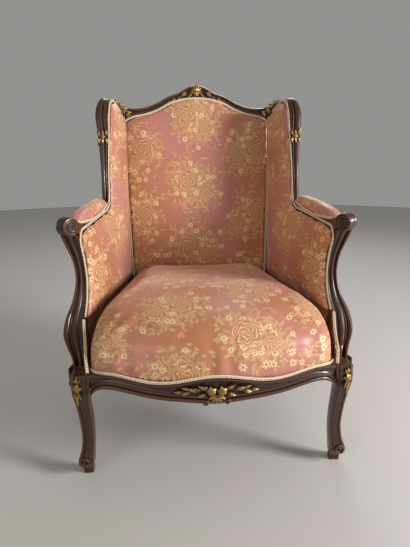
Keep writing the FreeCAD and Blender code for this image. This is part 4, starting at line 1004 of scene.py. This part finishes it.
outside_path = [out_side(y, z, 2.5) for y, z in even_ring(panel_outline, 120)]
out_braid = strip("outside_side_braid_right", outside_path, [-INWARD] * 120, OUTSIDE_WIDTH, loop=True)
dress(out_braid, GIMP, paired=True)
rear_path = [behind(x, z, 2.5) for x, z in even_ring(rear_outline, 200)]
dress(strip("outside_back_braid", rear_path, [-FORWARD] * 200, OUTSIDE_WIDTH, loop=True), GIMP)
print("braids laid")

# %% [markdown]
# ## Carving
# The gilt ornaments are acanthus leaves, roses and a small shell. A leaf is a flat grid shaped like
# clay: lobed at its edges, ridged along its veins and curled at its tip, then given thickness.
# Petals are short wide leaves, and every ornament is put together from copies.

# %% Leaves, petals and how to place them
GILT = "gilt_carving"


def carve_leaf(name, length, width, relief, lobes, curl):
    """A leaf along X. Its "raised" attribute tells the gilding where the high places are; it falls away at
    the leaf's edges, groove, veins and base, where the gilding paints shade.
    """
    calm()
    bpy.ops.mesh.primitive_grid_add(x_subdivisions=18, y_subdivisions=8, size=1)
    leaf = bpy.context.object
    bpy.ops.object.mode_set(mode="EDIT")
    mesh = bmesh.from_edit_mesh(leaf.data)
    raised = mesh.verts.layers.float.new("raised")
    for v in mesh.verts:
        s, t = v.co.x + 0.5, v.co.y * 2
        groove = math.exp(-(t / 0.16) ** 2)
        wide = width / 2 * math.sin(math.pi * min(0.97, 0.06 + 0.94 * s) ** 0.8) ** 0.7
        vein = 0
        if lobes:
            wide *= 1 - 0.22 * abs(math.cos(lobes * math.pi * s)) * (abs(t) > 0.6)
            vein = 0.16 * abs(math.sin(lobes * math.pi * s + 2.2 * abs(t))) * abs(t)
        height = relief * (math.sin(math.pi * min(1, s * 0.75 + 0.2)) * (1 - 0.55 * t * t) - vein)
        height += relief * (4 * curl * max(0, s - 0.6) ** 2 - 0.22 * groove)
        v.co = Vector((s * length, t * wide, height)) * MM
        # low at the edges, the groove, the veins and the base: the places where the gilding paints shade
        v[raised] = max(0, 1 - abs(t) ** 1.6 - 0.55 * groove - 2.5 * vein) * min(1, 0.25 + 1.5 * s)
    bmesh.update_edit_mesh(leaf.data)
    bpy.ops.object.mode_set(mode="OBJECT")
    apply_modifier(leaf, "SOLIDIFY", thickness=relief * 0.7 * MM, offset=-1)
    leaf.name = name
    return leaf


LEAF = carve_leaf("leaf", 24, 13, 5.5, 4, 0.5)
FLUTE = carve_leaf("flute", 26, 9, 6, 0, 0.6)
PETAL = carve_leaf("petal", 9.5, 10.5, 4.5, 0, -0.5)
# petals to a row, lift, size and tilt
PETAL_ROWS = ((5, 1.0, 1.0, 8), (5, 2.2, 0.8, 28), (3, 3.4, 0.6, 52))


def put(source, at, normal, angle, size=1.0, tilt=0.0):
    """A copy of a leaf lying at a point, square to the normal, turned by an angle in degrees."""
    normal = Vector(normal).normalized()
    right = Vector((1, 0, 0))
    right = (right - normal * right.dot(normal)).normalized()
    basis = Matrix((right, normal.cross(right), normal)).transposed().to_4x4()
    spin = Matrix.Rotation(math.radians(angle), 4, "Z") @ Matrix.Rotation(math.radians(-tilt), 4, "Y")
    copy = source.copy()
    copy.data = source.data.copy()
    bpy.context.scene.collection.objects.link(copy)
    copy.matrix_world = Matrix.Translation(Vector(at) * MM) @ basis @ spin @ Matrix.Scale(size, 4)
    return copy


def rose(at, normal, size=1.0):
    at, normal = Vector(at), Vector(normal).normalized()
    petals = []
    for count, lift, scale, tilt in PETAL_ROWS:
        for k in range(count):
            angle = 360 / count * k + 30 * lift
            petals.append(put(PETAL, at + normal * lift * size, normal, angle, scale * size, tilt))
    return petals


def sided(angle, sign):
    """An angle as it is on the right, or its mirror image on the left."""
    return angle if sign > 0 else 180 - angle


def crest_point(x, drop):
    z = height_at(OVER, x) - drop
    return Vector((x, back_at(z) + 2, z))


print("leaf", len(LEAF.data.polygons), "faces")

# %% Carvings of the crest and the wings
# x, drop below the crest's top, angle and size
CREST_LEAVES = (
    (12, 26, -38, 0.9), (30, 20, -24, 1.1), (50, 21, -40, 1.0), (67, 18, -26, 0.95), (84, 19, -36, 0.7),
)
shell_at = crest_point(0, 26)
shell = [put(FLUTE, shell_at, FORWARD, 90 - 22 * k, 1.02 - 0.05 * abs(k), 6) for k in range(-4, 5)]
shell += rose(shell_at + Vector((0, -2, -2)), FORWARD, 1.15)
for sign in (-1, 1):
    for x, drop, angle, size in CREST_LEAVES:
        at = crest_point(sign * x, drop)
        shell.append(put(LEAF, at, FORWARD, sided(angle, sign), size, 4))
        shell.append(put(LEAF, at, FORWARD, sided(angle + 38, sign), size * 0.62, 6))
    shell += rose(crest_point(sign * 41, 15), FORWARD, 0.75)
dress(joined("crest_shell", shell, 50), GILT, "crest_carving")

FAN_STEPS = ((270, 272, 946, 0.9), (259, 284, 937, 1.0), (247, 296, 927, 1.0), (234, 304, 915, 0.85))
fan = []
fan_face = (-0.4, -1, 0.3)
for x, y, z, size in FAN_STEPS:
    fan += [put(LEAF, (x, y, z), fan_face, angle, size, 5) for angle in (172, 205, 238)]
fan += rose((252, 286, 931), fan_face, 0.65)
dress(joined("corner_fan_right", fan, 50), GILT, "corner_carving", paired=True)

spray = []
y, z, turn, inner, outer, depth = wing_station(0.62, 45, 14, 19, 1)
face = Vector((0, -math.cos(math.radians(turn)), math.sin(math.radians(turn))))
at = Vector((0.5 * (inner + outer), y + 2, z))
for dx in (-9, 0, 9):
    spray.append(put(LEAF, at + Vector((dx, 0, 0)), face, 90 - dx, 0.85, 4))
    spray.append(put(LEAF, at + Vector((dx, 0, 0)), face, -90 + dx, 0.85, 4))
for dz in (-6, 6):
    spray.append(put(LEAF, at + Vector((13, 6, dz)), (0.8, -0.6, 0), math.copysign(90, dz), 0.8, 4))
spray += rose(at + Vector((0, -1, 0)), face, 0.8)
dress(joined("wing_leaves_right", spray, 50), GILT, "wing_carving", paired=True)
print("upper carvings placed")

# %% Carvings of the front rail and the knees
# x, height from the carving's middle, angle and size
APRON_LEAVES = (
    (20, 4, 22, 1.05), (22, -6, -18, 1.0), (40, 2, 8, 1.2), (58, -1, -16, 1.05), (62, 4, 14, 0.8),
    (76, -2, -4, 0.95),
)
apron = []
level = RAIL - 25
for sign, end_name in ((-1, "left"), (1, "right")):
    apron += rose((sign * 12.5, rail_face(12) + 1, level), (0, -1, 0), 1.35)
    for x, dz, angle, size in APRON_LEAVES:
        lean = (sign * 0.25 * x / 100, -1, 0)
        apron.append(put(LEAF, (sign * x, rail_face(x) + 1, level + dz), lean, sided(angle, sign), size, 4))
    nub_at = (sign * 25, rail_face(25) - 3.5, rail_low(25) + 3)
    nub_start = 0.5 * math.pi * (1 - sign)
    dress(spiral_bead("apron_nub_" + end_name, nub_at, (0, -1, 0), 5.5, 1.4, 2.6, nub_start), WALNUT)
for angle in (-150, -120, -90, -60, -30):
    apron.append(put(LEAF, (0, rail_face(0), level - 8), (0, -1, 0), angle, 0.95, 6))
dress(joined("apron_roses", apron, 50), GILT, "apron_carving")

KNEE_LEAVES = (
    (-8, -90, 1.25), (-8, -62, 0.95), (-8, -118, 0.95), (-24, -90, 0.95), (8, 90, 0.9), (8, 60, 0.7),
    (8, 120, 0.7),
)
corner = (0.45, -1, 0)
at = Vector((LEG_X + 6, LEG_FACE + 1, RAIL - 30))
knee = rose(at, corner, 1.3)
knee += [put(LEAF, at + UP * dz, corner, angle, size, 4) for dz, angle, size in KNEE_LEAVES]
dress(joined("knee_rose_right", knee, 50), GILT, "knee_carving", paired=True)
for source in (LEAF, FLUTE, PETAL):
    bpy.data.objects.remove(source)
print("lower carvings placed")

# %% [markdown]
# ## Underside
# A black cloth closes the bottom. It hangs a few millimetres between its tacks.

# %% Dust cloth
CLOTH_THICK, SAG, TACK_EDGE = 0.0008, 0.006, 0.001
low, high = [Vector(c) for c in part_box("dust_cover")]
deep = high.y - low.y
calm()
bpy.ops.mesh.primitive_grid_add(x_subdivisions=40, y_subdivisions=40, size=1)
dust = bpy.context.object
bpy.ops.object.mode_set(mode="EDIT")
mesh = bmesh.from_edit_mesh(dust.data)
for v in mesh.verts:
    s, t = v.co.x * 2, v.co.y + 0.5
    y = low.y + TACK_EDGE + (deep - 2 * TACK_EDGE) * t
    half = (side_x(y / MM, RAIL) + 6) * MM
    if t > 0.93:
        half = min(half, (POST_IN - 2) * MM)
    sag = SAG * (1 - s * s) * math.sin(math.pi * t)
    v.co = Vector((s * half, y, high.z - CLOTH_THICK - sag))
bmesh.update_edit_mesh(dust.data)
bpy.ops.object.mode_set(mode="OBJECT")
apply_modifier(dust, "SOLIDIFY", thickness=CLOTH_THICK, offset=-1)
dust = finish_piece(dust, "dust_cloth", 60)
dress(dust, "black_cambric", "dust_cover")
print("dust cloth hung")

# %% [markdown]
# ## Materials
# Colours are written as they look on the object, in sRGB hex, and turned to linear by one function.
# One small function adds a node with its settings and its links. The sums of the brocade are
# written with short names, each of which adds one math node.

# %% Colour and node helpers
def colour(text):
    values = [int(text[i:i + 2], 16) / 255 for i in (1, 3, 5)]
    return tuple([v / 12.92 if v <= 0.04045 else ((v + 0.055) / 1.055) ** 2.4 for v in values] + [1.0])


def fill(node, inputs):
    """Sets inputs by name or number. A socket is linked, and a constant is written on the input."""
    for key, value in inputs.items():
        if isinstance(value, bpy.types.NodeSocket):
            node.id_data.links.new(value, node.inputs[key])
        else:
            node.inputs[key].default_value = value


def add(tree, kind, inputs=None, **settings):
    """Adds a node. inputs maps a socket's name or number to a value or to another node's socket."""
    node = tree.nodes.new("ShaderNode" + kind)
    for key, value in settings.items():
        setattr(node, key, value)
    fill(node, inputs or {})
    return node


def new_material(name):
    material = bpy.data.materials.new(name)
    material.use_nodes = True
    tree = material.node_tree
    return material, tree, tree.nodes["Principled BSDF"]


def sums(*operations):
    """One function for each operation. It adds a math node to the tree that its sockets belong to."""
    def function(operation):
        def node(a, b=0.0, clamp=False):
            tree = (a if isinstance(a, bpy.types.NodeSocket) else b).id_data
            return add(tree, "Math", {0: a, 1: b}, operation=operation, use_clamp=clamp).outputs[0]
        return node
    return [function(operation) for operation in operations]


plus, minus, times, over, most = sums("ADD", "SUBTRACT", "MULTIPLY", "DIVIDE", "MAXIMUM")
below, above, whole, fraction, pingpong = sums("LESS_THAN", "GREATER_THAN", "FLOOR", "FRACT", "PINGPONG")
square_root, sine, cosine, arctangent, absolute = sums("SQRT", "SINE", "COSINE", "ARCTAN2", "ABSOLUTE")


def vector(operation, a, b):
    second = "Scale" if operation == "SCALE" else 1
    return add(a.id_data, "VectorMath", {0: a, second: b}, operation=operation).outputs[0]


def noise(place, scale, detail, **more):
    """Noise at a place. more holds further inputs by their names."""
    inputs = {"Vector": place, "Scale": scale, "Detail": detail, **more}
    return add(place.id_data, "TexNoise", inputs).outputs[0]


def flat_noise(place, scale):
    inputs = {"Vector": place, "Scale": scale, "Detail": 2.0}
    return add(place.id_data, "TexNoise", inputs, noise_dimensions="2D").outputs


def scaled(value, start, end, low=0.0, high=1.0):
    """Turns a value between low and high into one between start and end."""
    return add(value.id_data, "MapRange", {0: value, 1: low, 2: high, 3: start, 4: end}).outputs[0]


def blend(share, first, second):
    """From the first colour to the second. Each is a hex text or a socket."""
    both = [colour(c) if isinstance(c, str) else c for c in (first, second)]
    return add(share.id_data, "Mix", {0: share, 6: both[0], 7: both[1]}, data_type="RGBA").outputs[2]


def ramp(share, *stops):
    """Colours along a share of 0 to 1, each given with its place."""
    node = add(share.id_data, "ValToRGB", {0: share})
    marks = node.color_ramp.elements
    for mark, (place, tint) in zip(marks, stops):
        mark.position, mark.color = place, colour(tint)
    for place, tint in stops[2:]:
        marks.new(place).color = colour(tint)
    return node.outputs[0]


def bump(height, strength, distance):
    inputs = {"Height": height, "Strength": strength, "Distance": distance}
    return add(height.id_data, "Bump", inputs).outputs[0]


print("node helpers ready")

# %% [markdown]
# ### Silk brocade
# A brocade has a satin ground of rose silk, whose floats give a soft broad gleam, and flowers woven
# in thicker gold and cream weft, which lie a little proud and are duller. One bouquet repeats every
# 190 mm across and 210 mm up, half a step lower in every second column: two full roses of 76 and
# 54 mm, a cloud of 19 mm daisies and leaves of 20 to 30 mm. Each flower is drawn from the distance
# and angle to its own middle. Lengths are in metres here, since the cloth's map is.

# %% Silk brocade
# the second ground colour is a painted light tint: a warm tan that the rose ground drifts into at random
CLOTH_PINK, CLOTH_WARM_LIGHT_PAINTED = "#c08278", "#b87c57"
CLOTH_GOLD, CLOTH_CREAM, CLOTH_SHADE = "#c09566", "#e6cb9c", "#9c5f47"
REPEAT_ACROSS, REPEAT_UP = 0.19, 0.21
BOUQUET_WIDE, BOUQUET_HIGH = 0.088, 0.078
BIG_ROSE = ((-0.022, 0.012), 0.038, 0.4)
SMALL_ROSE = ((0.040, -0.022), 0.027, 1.9)
DAISY_CELL, DAISY_HALF = 0.025, 0.0095
FULL_TURN = 6.28


def lattice(place):
    """Where a point lies inside its own repeat, in metres from the bouquet's middle. Every second
    column is turned over."""
    axes = add(place.id_data, "SeparateXYZ", {0: place})
    across = over(axes.outputs[0], REPEAT_ACROSS)
    column = whole(across)
    upward = plus(over(axes.outputs[1], REPEAT_UP), times(column, 0.5))
    side = minus(1.0, times(pingpong(column, 1.0), 2.0))
    u = times(minus(fraction(across), 0.5), REPEAT_ACROSS)
    v = times(minus(fraction(upward), 0.5), REPEAT_UP)
    return times(u, side), v


def polar(u, v):
    return square_root(plus(times(u, u), times(v, v))), arctangent(v, u)


def full_rose(u, v, at, size, phase):
    """A rose seen from above: whether a point is on it, and rings from 0 to 1 across each row of
    petals."""
    reach, angle = polar(minus(u, at[0]), minus(v, at[1]))
    lobe = absolute(sine(plus(times(angle, 3.5), phase)))
    share = over(reach, times(plus(times(lobe, 0.2), 0.8), size))
    twist = times(sine(plus(times(angle, 3.0), times(share, 6.0))), 0.34)
    return below(share, 1.0), fraction(plus(times(share, 4.0), twist))


def scattered(place, cell, randomness):
    """One thing to a cell: the arm from its middle, two chances, and how far it is from a bouquet."""
    inputs = {"Vector": place, "Scale": 1 / cell, "Randomness": randomness}
    cells = add(place.id_data, "TexVoronoi", inputs, voronoi_dimensions="2D").outputs
    chance = add(place.id_data, "SeparateColor", {0: cells["Color"]}).outputs
    u, v = lattice(cells["Position"])
    u = over(u, BOUQUET_WIDE)
    v = over(plus(v, times(u, 0.02)), BOUQUET_HIGH)
    return vector("SUBTRACT", place, cells["Position"]), chance[0], chance[1], polar(u, v)[0]


def leaf_field(place, cell, long_half, wide_half, density):
    """Leaves turned at random, thick near the bouquets. Gives the leaf and its veins."""
    arm, turning, chance, away = scattered(place, cell, 0.9)
    inputs = {"Vector": arm, "Angle": times(turning, FULL_TURN)}
    arm = add(place.id_data, "VectorRotate", inputs, rotation_type="Z_AXIS").outputs[0]
    axes = add(place.id_data, "SeparateXYZ", {0: arm}).outputs
    long, wide = over(axes[0], long_half), absolute(over(axes[1], wide_half))
    lens = plus(times(long, long), wide)
    leaf = times(below(lens, 1.0), below(chance, minus(density, times(away, density * 0.72))))
    ribs = fraction(minus(times(long, 2.6), wide))
    return leaf, most(below(wide, 0.14), above(ribs, 0.68))


def daisy_field(place):
    """Daisies of six petals, close round the roses and a few alone. Gives the daisy and its heart."""
    arm, turning, chance, away = scattered(place, DAISY_CELL, 0.75)
    axes = add(place.id_data, "SeparateXYZ", {0: arm}).outputs
    reach, angle = polar(axes[0], axes[1])
    reach = over(reach, DAISY_HALF)
    lobe = absolute(cosine(plus(times(angle, 3.0), times(turning, FULL_TURN))))
    petal = over(reach, plus(times(lobe, 0.6), 0.4))
    here = below(chance, most(minus(0.92, times(away, 0.62)), 0.06))
    return times(below(petal, 1.0), here), below(reach, 0.26)


def brocade(name):
    material, tree, shader = new_material(name)
    cloth = add(tree, "UVMap", uv_map="cloth").outputs[0]
    drift = vector("SUBTRACT", flat_noise(cloth, 24.0)["Color"], (0.5, 0.5, 0.5))
    place = vector("ADD", cloth, vector("SCALE", drift, 0.012))
    u, v = lattice(place)
    big, big_rings = full_rose(u, v, *BIG_ROSE)
    small, small_rings = full_rose(u, v, *SMALL_ROSE)
    rose_here = most(big, small)
    rings = add(tree, "Mix", {0: big, 2: small_rings, 3: big_rings}).outputs[0]
    daisy, heart = daisy_field(place)
    leaf, vein = leaf_field(place, 0.0115, 0.0110, 0.0034, 1.5)
    broad, broad_vein = leaf_field(cloth, 0.019, 0.0160, 0.0050, 1.7)

    # colours: a shot silk ground that drifts at random from rose to warm tan, painted in place of how its
    # colour turns with the light; gold and cream wefts over it
    tone = blend(scaled(flat_noise(cloth, 4.0)[0], 0.0, 1.0, 0.35, 0.65), CLOTH_PINK, CLOTH_WARM_LIGHT_PAINTED)
    tone = blend(broad, tone, blend(broad_vein, "#bd865e", "#cc9f73"))
    tone = blend(leaf, tone, blend(vein, CLOTH_GOLD, "#d9b585"))
    tone = blend(daisy, tone, blend(heart, CLOTH_CREAM, CLOTH_SHADE))
    petals = (0.0, CLOTH_SHADE), (0.16, "#b47b56"), (0.5, "#bd8760"), (0.76, "#cfa273"), (0.9, CLOTH_CREAM)
    tone = blend(rose_here, tone, ramp(rings, *petals))
    woven = most(most(rose_here, daisy), most(leaf, broad))

    # threads: real ones are 0.25 mm; drawn at 1.3 mm so that they still show in a picture
    inputs = {"Vector": cloth, "Scale": 120.0, "Distortion": 0.8, "Detail": 1.0}
    weft = add(tree, "TexWave", inputs, bands_direction="Y").outputs[1]
    inputs = {"Vector": cloth, "Scale": 150.0, "Distortion": 2.5, "Detail": 1.0, "Detail Scale": 3.0}
    twill = add(tree, "TexWave", inputs, bands_direction="DIAGONAL").outputs[1]
    thread = add(tree, "Mix", {0: woven, 2: weft, 3: twill}).outputs[0]
    strength = scaled(woven, 0.05, 0.26)
    # painted shade of the threads: the colour is lighter on each thread and darker between them, besides
    # the bump
    shade = plus(1.0, times(minus(thread, 0.5), strength))
    relief = plus(times(thread, times(strength, 1.6)), times(woven, 0.8))
    fill(shader, {
        "Base Color": vector("SCALE", tone, shade), "Roughness": scaled(woven, 0.36, 0.55),
        "Normal": bump(relief, 0.4, 0.0007), "Specular IOR Level": 0.6,
        "Sheen Weight": 0.7, "Sheen Roughness": 0.3, "Sheen Tint": colour("#fae2da"),
    })
    return material


silk = brocade("silk_brocade_woven")
print("brocade", len(silk.node_tree.nodes), "nodes")

# %% [markdown]
# ### Walnut under satin lacquer, and bare beech
# Old walnut stained nearly black-brown, with the grain running along each bar. The lacquer is a
# clear coat, so it gives the thin bright lines on the beads. The hidden rails are planed beech.

# %% Walnut and beech
def timber_finish(name, light, dark, along_bar, coat, rough):
    """Grain along the bar's own map, or along Y where a solid has none."""
    material, tree, shader = new_material(name)
    if along_bar:
        place, stretch = add(tree, "UVMap", uv_map="girth").outputs[0], 0.06
    else:
        place, stretch = add(tree, "TexCoord").outputs["Object"], 0.07
    place = add(tree, "Mapping", {"Vector": place, "Scale": (1.0, stretch, 1.0)}).outputs[0]
    grain = noise(place, 420.0, 4.0, Roughness=0.6)
    figure = noise(place, 60.0, 3.0, Distortion=0.8)
    both = add(tree, "Math", {0: grain, 1: 0.5, 2: times(figure, 0.6)}, operation="MULTIPLY_ADD").outputs[0]
    edge = add(tree, "NewGeometry").outputs["Pointiness"]
    tint = ramp(both, (0.36, dark), (0.68, light))
    fill(shader, {
        "Base Color": blend(scaled(edge, 0.0, 0.4, 0.505, 0.56), tint, "#7a4a2c"),
        "Roughness": scaled(figure, rough - 0.06, rough + 0.08), "Normal": bump(grain, 0.12, 0.0004),
        "Coat Weight": coat, "Coat Roughness": 0.12,
    })
    return material


walnut = timber_finish("walnut_stained_satin_lacquer", "#351a11", "#150a07", True, 0.45, 0.4)
beech = timber_finish("beech_planed_bare", "#c9a377", "#a67c50", False, 0.0, 0.62)
print("timber finishes made")

# %% [markdown]
# ### Old gilding
# Gold size and bronze powder over the carved wood: bright on the high places, and rubbed and brown in the
# hollows, which is partly worn gilding and partly painted shade; the near-black round each leaf's edge is
# painted shade.

# %% Gilding
gilt, tree, shader = new_material("bronze_gilding_rubbed")
spots = noise(add(tree, "TexCoord").outputs["Object"], 260.0, 4.0)
high = scaled(add(tree, "Attribute", attribute_name="raised").outputs["Fac"], 0.0, 0.8, 0.1, 0.8)
gold = plus(high, times(minus(spots, 0.45), 0.8), clamp=True)
# brown to near-black in the hollows and at the leaf edges: partly rubbed gilding, partly painted shade
fill(shader, {
    "Base Color": ramp(gold, (0.08, "#1d110b"), (0.3, "#4a361b"), (0.55, "#8d6f38"), (0.85, "#cfb572")),
    "Metallic": scaled(gold, 0.1, 0.85, 0.3, 0.7), "Roughness": scaled(spots, 0.30, 0.5),
    "Normal": bump(spots, 0.25, 0.0006),
})
print("gilding made")

# %% [markdown]
# ### Gimp, jute, cambric, stuffing and wire
# The braid is two cream and gold cords plaited over each other every 6 mm; its colour is cream on each
# cord's crown and dark gold where the cords dip, partly the gold cord and partly painted shade between
# the plaits. The hidden cloths are plain weaves, and the springs are coppered wire.

# %% Braid, plain weaves and wire
def braid_finish(name):
    material, tree, shader = new_material(name)
    flat = add(tree, "SeparateXYZ", {0: add(tree, "UVMap", uv_map="girth").outputs[0]}).outputs
    along = times(flat[1], 2 * math.pi / (PLAIT * MM))
    across = times(flat[0], 2 * math.pi)
    plait = most(sine(plus(along, across)), sine(minus(along, across)))
    # cream on the crowns, dark where the cords dip under each other: the gold cord's tone and painted shade
    tone = ramp(scaled(plait, 0.0, 1.0, -0.2), (0.1, "#8f714c"), (0.4, "#d8c09a"), (0.9, "#f2e6cf"))
    fill(shader, {
        "Base Color": tone, "Normal": bump(plait, 0.6, 0.0009), "Roughness": 0.6, "Sheen Weight": 0.3,
    })
    return material


def plain_weave(name, light, dark, pitch, rough):
    """Threads every pitch metres. At a scale of 0.157 / pitch one wave covers two threads. The colour is
    darker between the threads: painted shade of the weave.
    """
    material, tree, shader = new_material(name)
    place = add(tree, "TexCoord").outputs["Object"]
    inputs = {"Vector": place, "Scale": 0.157 / pitch, "Distortion": 0.8}
    cross = most(*[add(tree, "TexWave", inputs, bands_direction=way).outputs[1] for way in ("X", "Y")])
    # painted shade: dark between the threads and light on them, with the fibre's own uneven tone from the
    # noise
    fill(shader, {
        "Base Color": blend(times(cross, noise(place, 180.0, 3.0)), dark, light),
        "Normal": bump(cross, 0.4, 0.0006), "Roughness": rough,
    })
    return material


braid = braid_finish("gimp_plaited_rayon")
jute = plain_weave("jute_webbing_woven", "#b58e5e", "#6e5130", 0.004, 0.85)
cambric = plain_weave("cambric_black_woven", "#2b2a2a", "#0f0f10", 0.002, 0.8)
felt = plain_weave("stuffing_bound_fibre", "#d8cdb4", "#a89877", 0.005, 0.9)
wire, tree, shader = new_material("spring_wire_coppered")
stain = noise(add(tree, "TexCoord").outputs["Object"], 90.0, 3.0)
copper = blend(stain, "#6b4a33", "#b08a6a")
fill(shader, {"Base Color": copper, "Roughness": scaled(stain, 0.28, 0.5), "Metallic": 1.0})
print("small finishes made")

# %% [markdown]
# ## Dressing
# Each piece takes the material of its slot in the record. CAD nodes that stay get the same finishes.

# %% Assign materials
FINISH = {
    WALNUT: walnut, GILT: gilt, GIMP: braid, "beech_rails": beech, "rose_brocade": silk, "stuffing": felt,
    "jute_webbing": jute, "spring_steel": wire, "black_cambric": cambric,
}
slots = {entry["node"]: entry["material_slot"] for entry in frame["record"]["subparts"]}
for piece in list(bpy.context.scene.objects):
    if piece.type != "MESH":
        continue
    slot = piece.get("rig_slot") or slots.get(piece.name)
    if slot:
        piece.data.materials.clear()
        piece.data.materials.append(FINISH[slot])

# %% [markdown]
# ## Floor and light
# A pale floor, one large soft lamp from the front right as in the photograph, a weaker one from the
# left and a low even sky. Each colour then renders about as it is written.

# %% Stage
calm()
bpy.ops.mesh.primitive_circle_add(vertices=96, radius=6, fill_type="NGON", location=(0, 0, 0))
floor = bpy.context.object
floor.name = "floor"
paper, tree, shader = new_material("floor_matt_paper")
fill(shader, {"Base Color": colour("#c3c2c0"), "Roughness": 0.9})
floor.data.materials.append(paper)


def lamp(name, at, to, size, power, tint):
    light = bpy.data.lights.new(name, "AREA")
    light.shape, light.size, light.energy, light.color = "DISK", size, power, colour(tint)[:3]
    holder = bpy.data.objects.new(name, light)
    bpy.context.scene.collection.objects.link(holder)
    holder.location = at
    holder.rotation_euler = (Vector(to) - Vector(at)).to_track_quat("-Z", "Y").to_euler()


lamp("window", (2.6, -1.35, 1.35), (-0.2, 0, 0.65), 1.0, 116, "#fdf6f6")
lamp("fill", (-1.8, -2.6, 1.8), (0, 0, 0.5), 2.0, 20, "#ffe8d0")
lamp("back_light", (0.6, 2.4, 2.4), (0, 0, 0.7), 1.6, 22, "#ffffff")
world = bpy.data.worlds.new("studio")
bpy.context.scene.world = world
world.use_nodes = True
fill(world.node_tree.nodes["Background"], {"Color": colour("#e4e2df"), "Strength": 0.38})
bpy.context.scene.view_settings.view_transform = "Standard"
print("stage set")
